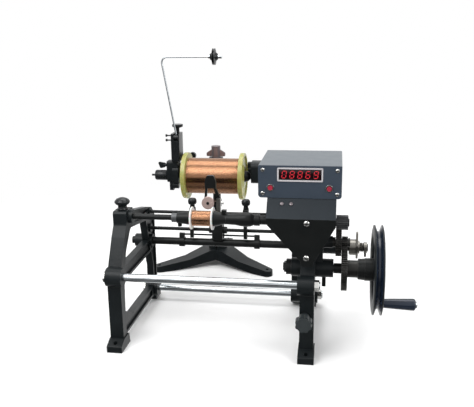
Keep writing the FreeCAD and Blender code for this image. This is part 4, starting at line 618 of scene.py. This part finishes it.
def slotted_screw(name, seat, outward, size, tilt, finish="nickel"):
    """A domed head that sits at a point and faces outwards, with its slot turned by tilt."""
    radius, height = size
    work = bmesh.new()
    bmesh.ops.create_circle(work, cap_ends=True, segments=28, radius=radius)
    top = list(work.faces)
    for level, (shrink, rise) in enumerate(dome):
        rim, grown = extruded(work, top)
        bmesh.ops.translate(work, verts=rim, vec=(0, 0, height * rise))
        bmesh.ops.scale(work, verts=rim, vec=(shrink, shrink, 1))
        if level > 1:
            bmesh.ops.delete(work, geom=top, context="FACES_ONLY")
        top = grown
    for side in (-1, 1):
        bmesh.ops.bisect_plane(
            work, geom=list(work.verts) + list(work.edges) + list(work.faces),
            plane_co=(side * radius * slot_share, 0, 0), plane_no=(1, 0, 0),
        )
    floor_level = height * rim_share
    strip = []
    for item in work.faces:
        middle = item.calc_center_median()
        if abs(middle.x) < radius * strip_share and middle.z > floor_level * 1.01:
            strip.append(item)
    sunk = extruded(work, strip)[0]
    bmesh.ops.delete(work, geom=strip, context="FACES")
    for vert in sunk:
        vert.co.z = floor_level
    bmesh.ops.remove_doubles(work, verts=work.verts, dist=weld_distance)
    bmesh.ops.recalc_face_normals(work, faces=work.faces)
    turn_about(work, tilt, "Z")
    turn_out = Vector((0, 0, 1)).rotation_difference(outward).to_matrix()
    bmesh.ops.rotate(work, verts=work.verts, cent=(0, 0, 0), matrix=turn_out)
    bmesh.ops.translate(work, verts=work.verts, vec=seat)
    smooth_by_angle(work, screw_crease_degrees)
    return link_piece(name, work, finish, "frame")


panel_low, panel_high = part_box("front_panel")
panel_front = panel_low.y
inset = 0.0065
x_left, x_right = panel_low.x + inset, panel_high.x - inset
z_low, z_high = panel_low.z + inset, panel_high.z - inset
out = Vector((0, -1, 0))
panel_screw = (0.0029, 0.0016)
corners = ((x_left, z_high, 0.5), (x_right, z_high, -0.9), (x_left, z_low, -0.6), (x_right, z_low, -1.1))
for index, (x, z, tilt) in enumerate(corners):
    seat = Vector((x, panel_front, z))
    slotted_screw(f"panel_screw_{index}", seat, out, panel_screw, tilt)

plate_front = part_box("counter_bracket")[0].y
plate_screw_x = 0.1435
bracket_screw = (0.0043, 0.0026)
for index, (z, tilt) in enumerate(((0.211, -0.35), (0.160, 0.75))):
    seat = Vector((plate_screw_x, plate_front, z))
    slotted_screw(f"bracket_screw_{index}", seat, out, bracket_screw, tilt)

band_out = Vector((0, -0.025, 0.022)).normalized()
band_x, band_y, band_z = 0.114, -0.09288, 0.235
band_screw = (0.0026, 0.0015)
for index, offset in enumerate((-0.0066, 0.0066)):
    seat = Vector((band_x + offset, band_y, band_z))
    tilt = 0.4 + index
    slotted_screw(f"band_screw_{index}", seat, band_out, band_screw, tilt, "dark_nickel")
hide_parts("counter_screws")

# %% [markdown]
# The counter shows red figures on a dark lens, in a thin silver frame. The frame starts as a flat grid:
# its corners are rounded, its middle is cut out, and what is left is extruded back to the panel.


def rounded_ring(name, low, high, corner, edge, back, finish):
    """A flat frame with rounded outer corners, from the front of a box to a Y plane behind it."""
    work = bmesh.new()
    bmesh.ops.create_grid(work, x_segments=1, y_segments=1, size=0.5)
    bmesh.ops.scale(work, verts=work.verts, vec=(high.x - low.x, high.z - low.z, 1))
    bmesh.ops.bevel(
        work, geom=list(work.verts), offset=corner, offset_type="OFFSET", affect="VERTICES", segments=5,
        profile=0.5, material=-1,
    )
    hole = list(work.faces)
    bmesh.ops.inset_individual(work, faces=hole, thickness=edge, use_even_offset=True)
    bmesh.ops.delete(work, geom=hole, context="FACES")
    moved = extruded(work, list(work.faces))[0]
    bmesh.ops.translate(work, verts=moved, vec=(0, 0, back - low.y))
    bmesh.ops.recalc_face_normals(work, faces=work.faces)
    turn_about(work, -quarter_turn, "X")
    place = ((low.x + high.x) / 2, low.y, (low.z + high.z) / 2)
    bmesh.ops.translate(work, verts=work.verts, vec=place)
    smooth_by_angle(work, crease_degrees)
    return link_piece(name, work, finish, "frame")


def slab(name, low, high, edge, finish):
    """A plain block between two corners, with rounded edges."""
    work = bmesh.new()
    bmesh.ops.create_cube(work, size=1.0)
    bmesh.ops.scale(work, verts=work.verts, vec=high - low)
    bmesh.ops.translate(work, verts=work.verts, vec=(low + high) / 2)
    bmesh.ops.bevel(
        work, geom=list(work.edges), offset=edge, offset_type="OFFSET", affect="EDGES", segments=2,
        profile=0.5, material=-1,
    )
    smooth_by_angle(work, crease_degrees)
    link_piece(name, work, finish, "frame")


window_low, window_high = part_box("display_window")
frame_edge = 0.0021
frame_corner = 0.0016
lens_front = panel_front - 0.0004
lens_back = panel_front + 0.0028
lens_edge = 0.00025
display_frame = rounded_ring(
    "display_frame", window_low, window_high, frame_corner, frame_edge, panel_front, "silver_paint",
)
slab(
    "display_lens", Vector((window_low.x + frame_edge, lens_front, window_low.z + frame_edge)),
    Vector((window_high.x - frame_edge, lens_back, window_high.z - frame_edge)), lens_edge, "lens",
)
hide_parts("display_window")
print("display window in metres:", [round(size, 4) for size in window_high - window_low])

# %% [markdown]
# Each of the five figures has seven bars. Every bar is made, and the ones that are off keep a dim red,
# as real ones do. A bar is a thin six-sided plate that stands a hair in front of the lens. The figures
# lean a little to the right.

# %% Figures
window_middle = (window_low + window_high) / 2
bars_of = {"0": "abcdef", "6": "acdefg", "8": "abcdefg", "9": "abcdfg"}
figure_tall = 0.0098
figure_wide = 0.0056
figure_step = 0.0112
figure_lean = 0.14
figure_back = panel_front - 0.00035
bar_thick = 0.00125
bar_share = 0.92
bar_relief = 0.0002
shoulder_stretch = 1.55
hexagon_height = 0.866
places = {
    "a": (0, 0.5, True), "b": (0.5, 0.25, False), "c": (0.5, -0.25, False), "d": (0, -0.5, True),
    "e": (-0.5, -0.25, False), "f": (-0.5, 0.25, False), "g": (0, 0, True),
}


def figure_bars(name, shown, lit):
    """All lit or all unlit bars of the whole display, as one piece."""
    work = bmesh.new()
    for place, figure in enumerate(shown):
        for bar, (across, up, flat) in places.items():
            if (bar in bars_of[figure]) != lit:
                continue
            made = bmesh.ops.create_circle(work, cap_ends=True, segments=6, radius=0.5)["verts"]
            length = figure_wide if flat else figure_tall / 2
            for vert in made:
                if abs(vert.co.x) < 0.4:
                    vert.co.x *= shoulder_stretch
            bmesh.ops.scale(work, verts=made, vec=(length * bar_share, bar_thick / hexagon_height, 1))
            lifted = extruded(work, list({face for vert in made for face in vert.link_faces}))[0]
            bmesh.ops.translate(work, verts=lifted, vec=(0, 0, bar_relief))
            whole = made + lifted
            if not flat:
                turn_about(work, quarter_turn, "Z", whole)
            bmesh.ops.translate(work, verts=whole, vec=(across * figure_wide, up * figure_tall, 0))
            for vert in whole:
                vert.co.x += vert.co.y * figure_lean
            bmesh.ops.translate(work, verts=whole, vec=((place - 2) * figure_step, 0, 0))
    turn_about(work, quarter_turn, "X")
    bmesh.ops.translate(work, verts=work.verts, vec=(window_middle.x, figure_back, window_middle.z))
    bmesh.ops.recalc_face_normals(work, faces=work.faces)
    link_piece(name, work, "lit" if lit else "unlit", "frame")


figures = "08869"
figure_bars("lit_bars", figures, True)
figure_bars("unlit_bars", figures, False)
print("figures shown:", figures)

# %% [markdown]
# The photograph has a pure white ground. Here the world is white for the camera and through glass,
# and plain soft light does the lighting. In reflections it is white too, apart from dark and grey
# bands below the horizon in front. They give the copper and the bright rods their stripes, so the floor
# is left out of reflections. It is pale, keeps the shadow, and fades out so that no horizon shows.

# %% World
soft_light = 0.55
world = bpy.data.worlds.new("studio")
bpy.context.scene.world = world
world.use_nodes = True
sky = world.node_tree
background = sky.nodes["Background"]
path = sky.nodes.new("ShaderNodeLightPath")
seen = calculate(sky, "ADD", (path, "Is Camera Ray"), (path, "Is Transmission Ray"), clamp=True)
direction = sky.nodes.new("ShaderNodeTexCoord")
parts = add_node(sky, "ShaderNodeSeparateXYZ", Vector=(direction, "Generated"))
level = calculate(sky, "MULTIPLY_ADD", (parts, "Z"), 0.5, 0.5)
bands = add_node(sky, "ShaderNodeValToRGB", Fac=level)
ramp = bands.color_ramp
stops = (
    (0.01, 0.60), (0.03, 0.10), (0.11, 0.10), (0.13, 0.38), (0.24, 0.38), (0.26, 0.06), (0.46, 0.06),
    (0.48, 1.0),
)
ramp.elements[0].position, ramp.elements[1].position = stops[0][0], stops[-1][0]
for place, value in stops[1:-1]:
    ramp.elements.new(place)
for element, (place, value) in zip(ramp.elements, stops):
    element.position = place
    element.color = (value, value, value, 1)
behind = add_node(sky, "ShaderNodeMapRange", Value=(parts, "Y"), From_Min=0.0, From_Max=0.3)
around = calculate(sky, "MAXIMUM", (bands, 0), (behind, 0))
glossy = calculate(sky, "MULTIPLY", (path, "Is Glossy Ray"), around)
plain = calculate(sky, "SUBTRACT", 1.0, (path, "Is Glossy Ray"))
soft = calculate(sky, "MULTIPLY_ADD", plain, soft_light, glossy)
strength = calculate(sky, "MAXIMUM", soft, seen)
sky.links.new(strength[0].outputs[0], background.inputs["Strength"])
background.inputs["Color"].default_value = (1, 1, 1, 1)
print("bands in reflections:", len(stops))

# %% Floor and lamps
floor_radius = 3.0
fade_from = 0.45
fade_to = 1.1
floor_bmesh = bmesh.new()
bmesh.ops.create_circle(floor_bmesh, cap_ends=True, segments=64, radius=floor_radius)
floor_mesh = bpy.data.meshes.new("floor")
floor_bmesh.to_mesh(floor_mesh)
floor_bmesh.free()
floor = bpy.data.objects.new("floor", floor_mesh)
bpy.context.scene.collection.objects.link(floor)
floor_tone = (0.93, 0.93, 0.93, 1)
floor_material, floor_tree, floor_shader = new_material("floor", Base_Color=floor_tone, Roughness=0.9)
spot = floor_tree.nodes.new("ShaderNodeTexCoord")
reach = add_node(floor_tree, "ShaderNodeVectorMath", _0=(spot, "Object"))
reach.operation = "LENGTH"
fade = add_node(
    floor_tree, "ShaderNodeMapRange", Value=(reach, "Value"), From_Min=fade_from, From_Max=fade_to,
)
clear = floor_tree.nodes.new("ShaderNodeBsdfTransparent")
blend = add_node(floor_tree, "ShaderNodeMixShader", Fac=(fade, 0))
floor_tree.links.new(floor_shader.outputs[0], blend.inputs[1])
floor_tree.links.new(clear.outputs[0], blend.inputs[2])
floor_tree.links.new(blend.outputs[0], floor_tree.nodes["Material Output"].inputs["Surface"])
floor_mesh.materials.append(floor_material)
floor.visible_glossy = False


def area_lamp(name, place, aim, size, power):
    """A rectangular lamp at a place, turned towards a point."""
    lamp = bpy.data.lights.new(name, "AREA")
    lamp.shape = "RECTANGLE"
    lamp.size, lamp.size_y = size
    lamp.energy = power
    holder = bpy.data.objects.new(name, lamp)
    holder.location = place
    holder.rotation_euler = (Vector(aim) - Vector(place)).to_track_quat("-Z", "Y").to_euler()
    bpy.context.scene.collection.objects.link(holder)


area_lamp("key", (-0.7, -0.9, 1.6), (0, 0.05, 0.1), (1.2, 1.2), 26)
area_lamp("fill", (1.4, -0.7, 1.1), (0.05, 0, 0.15), (1.0, 1.0), 14)
area_lamp("top", (0.1, 0.5, 1.8), (0, 0.1, 0.1), (1.6, 1.0), 18)
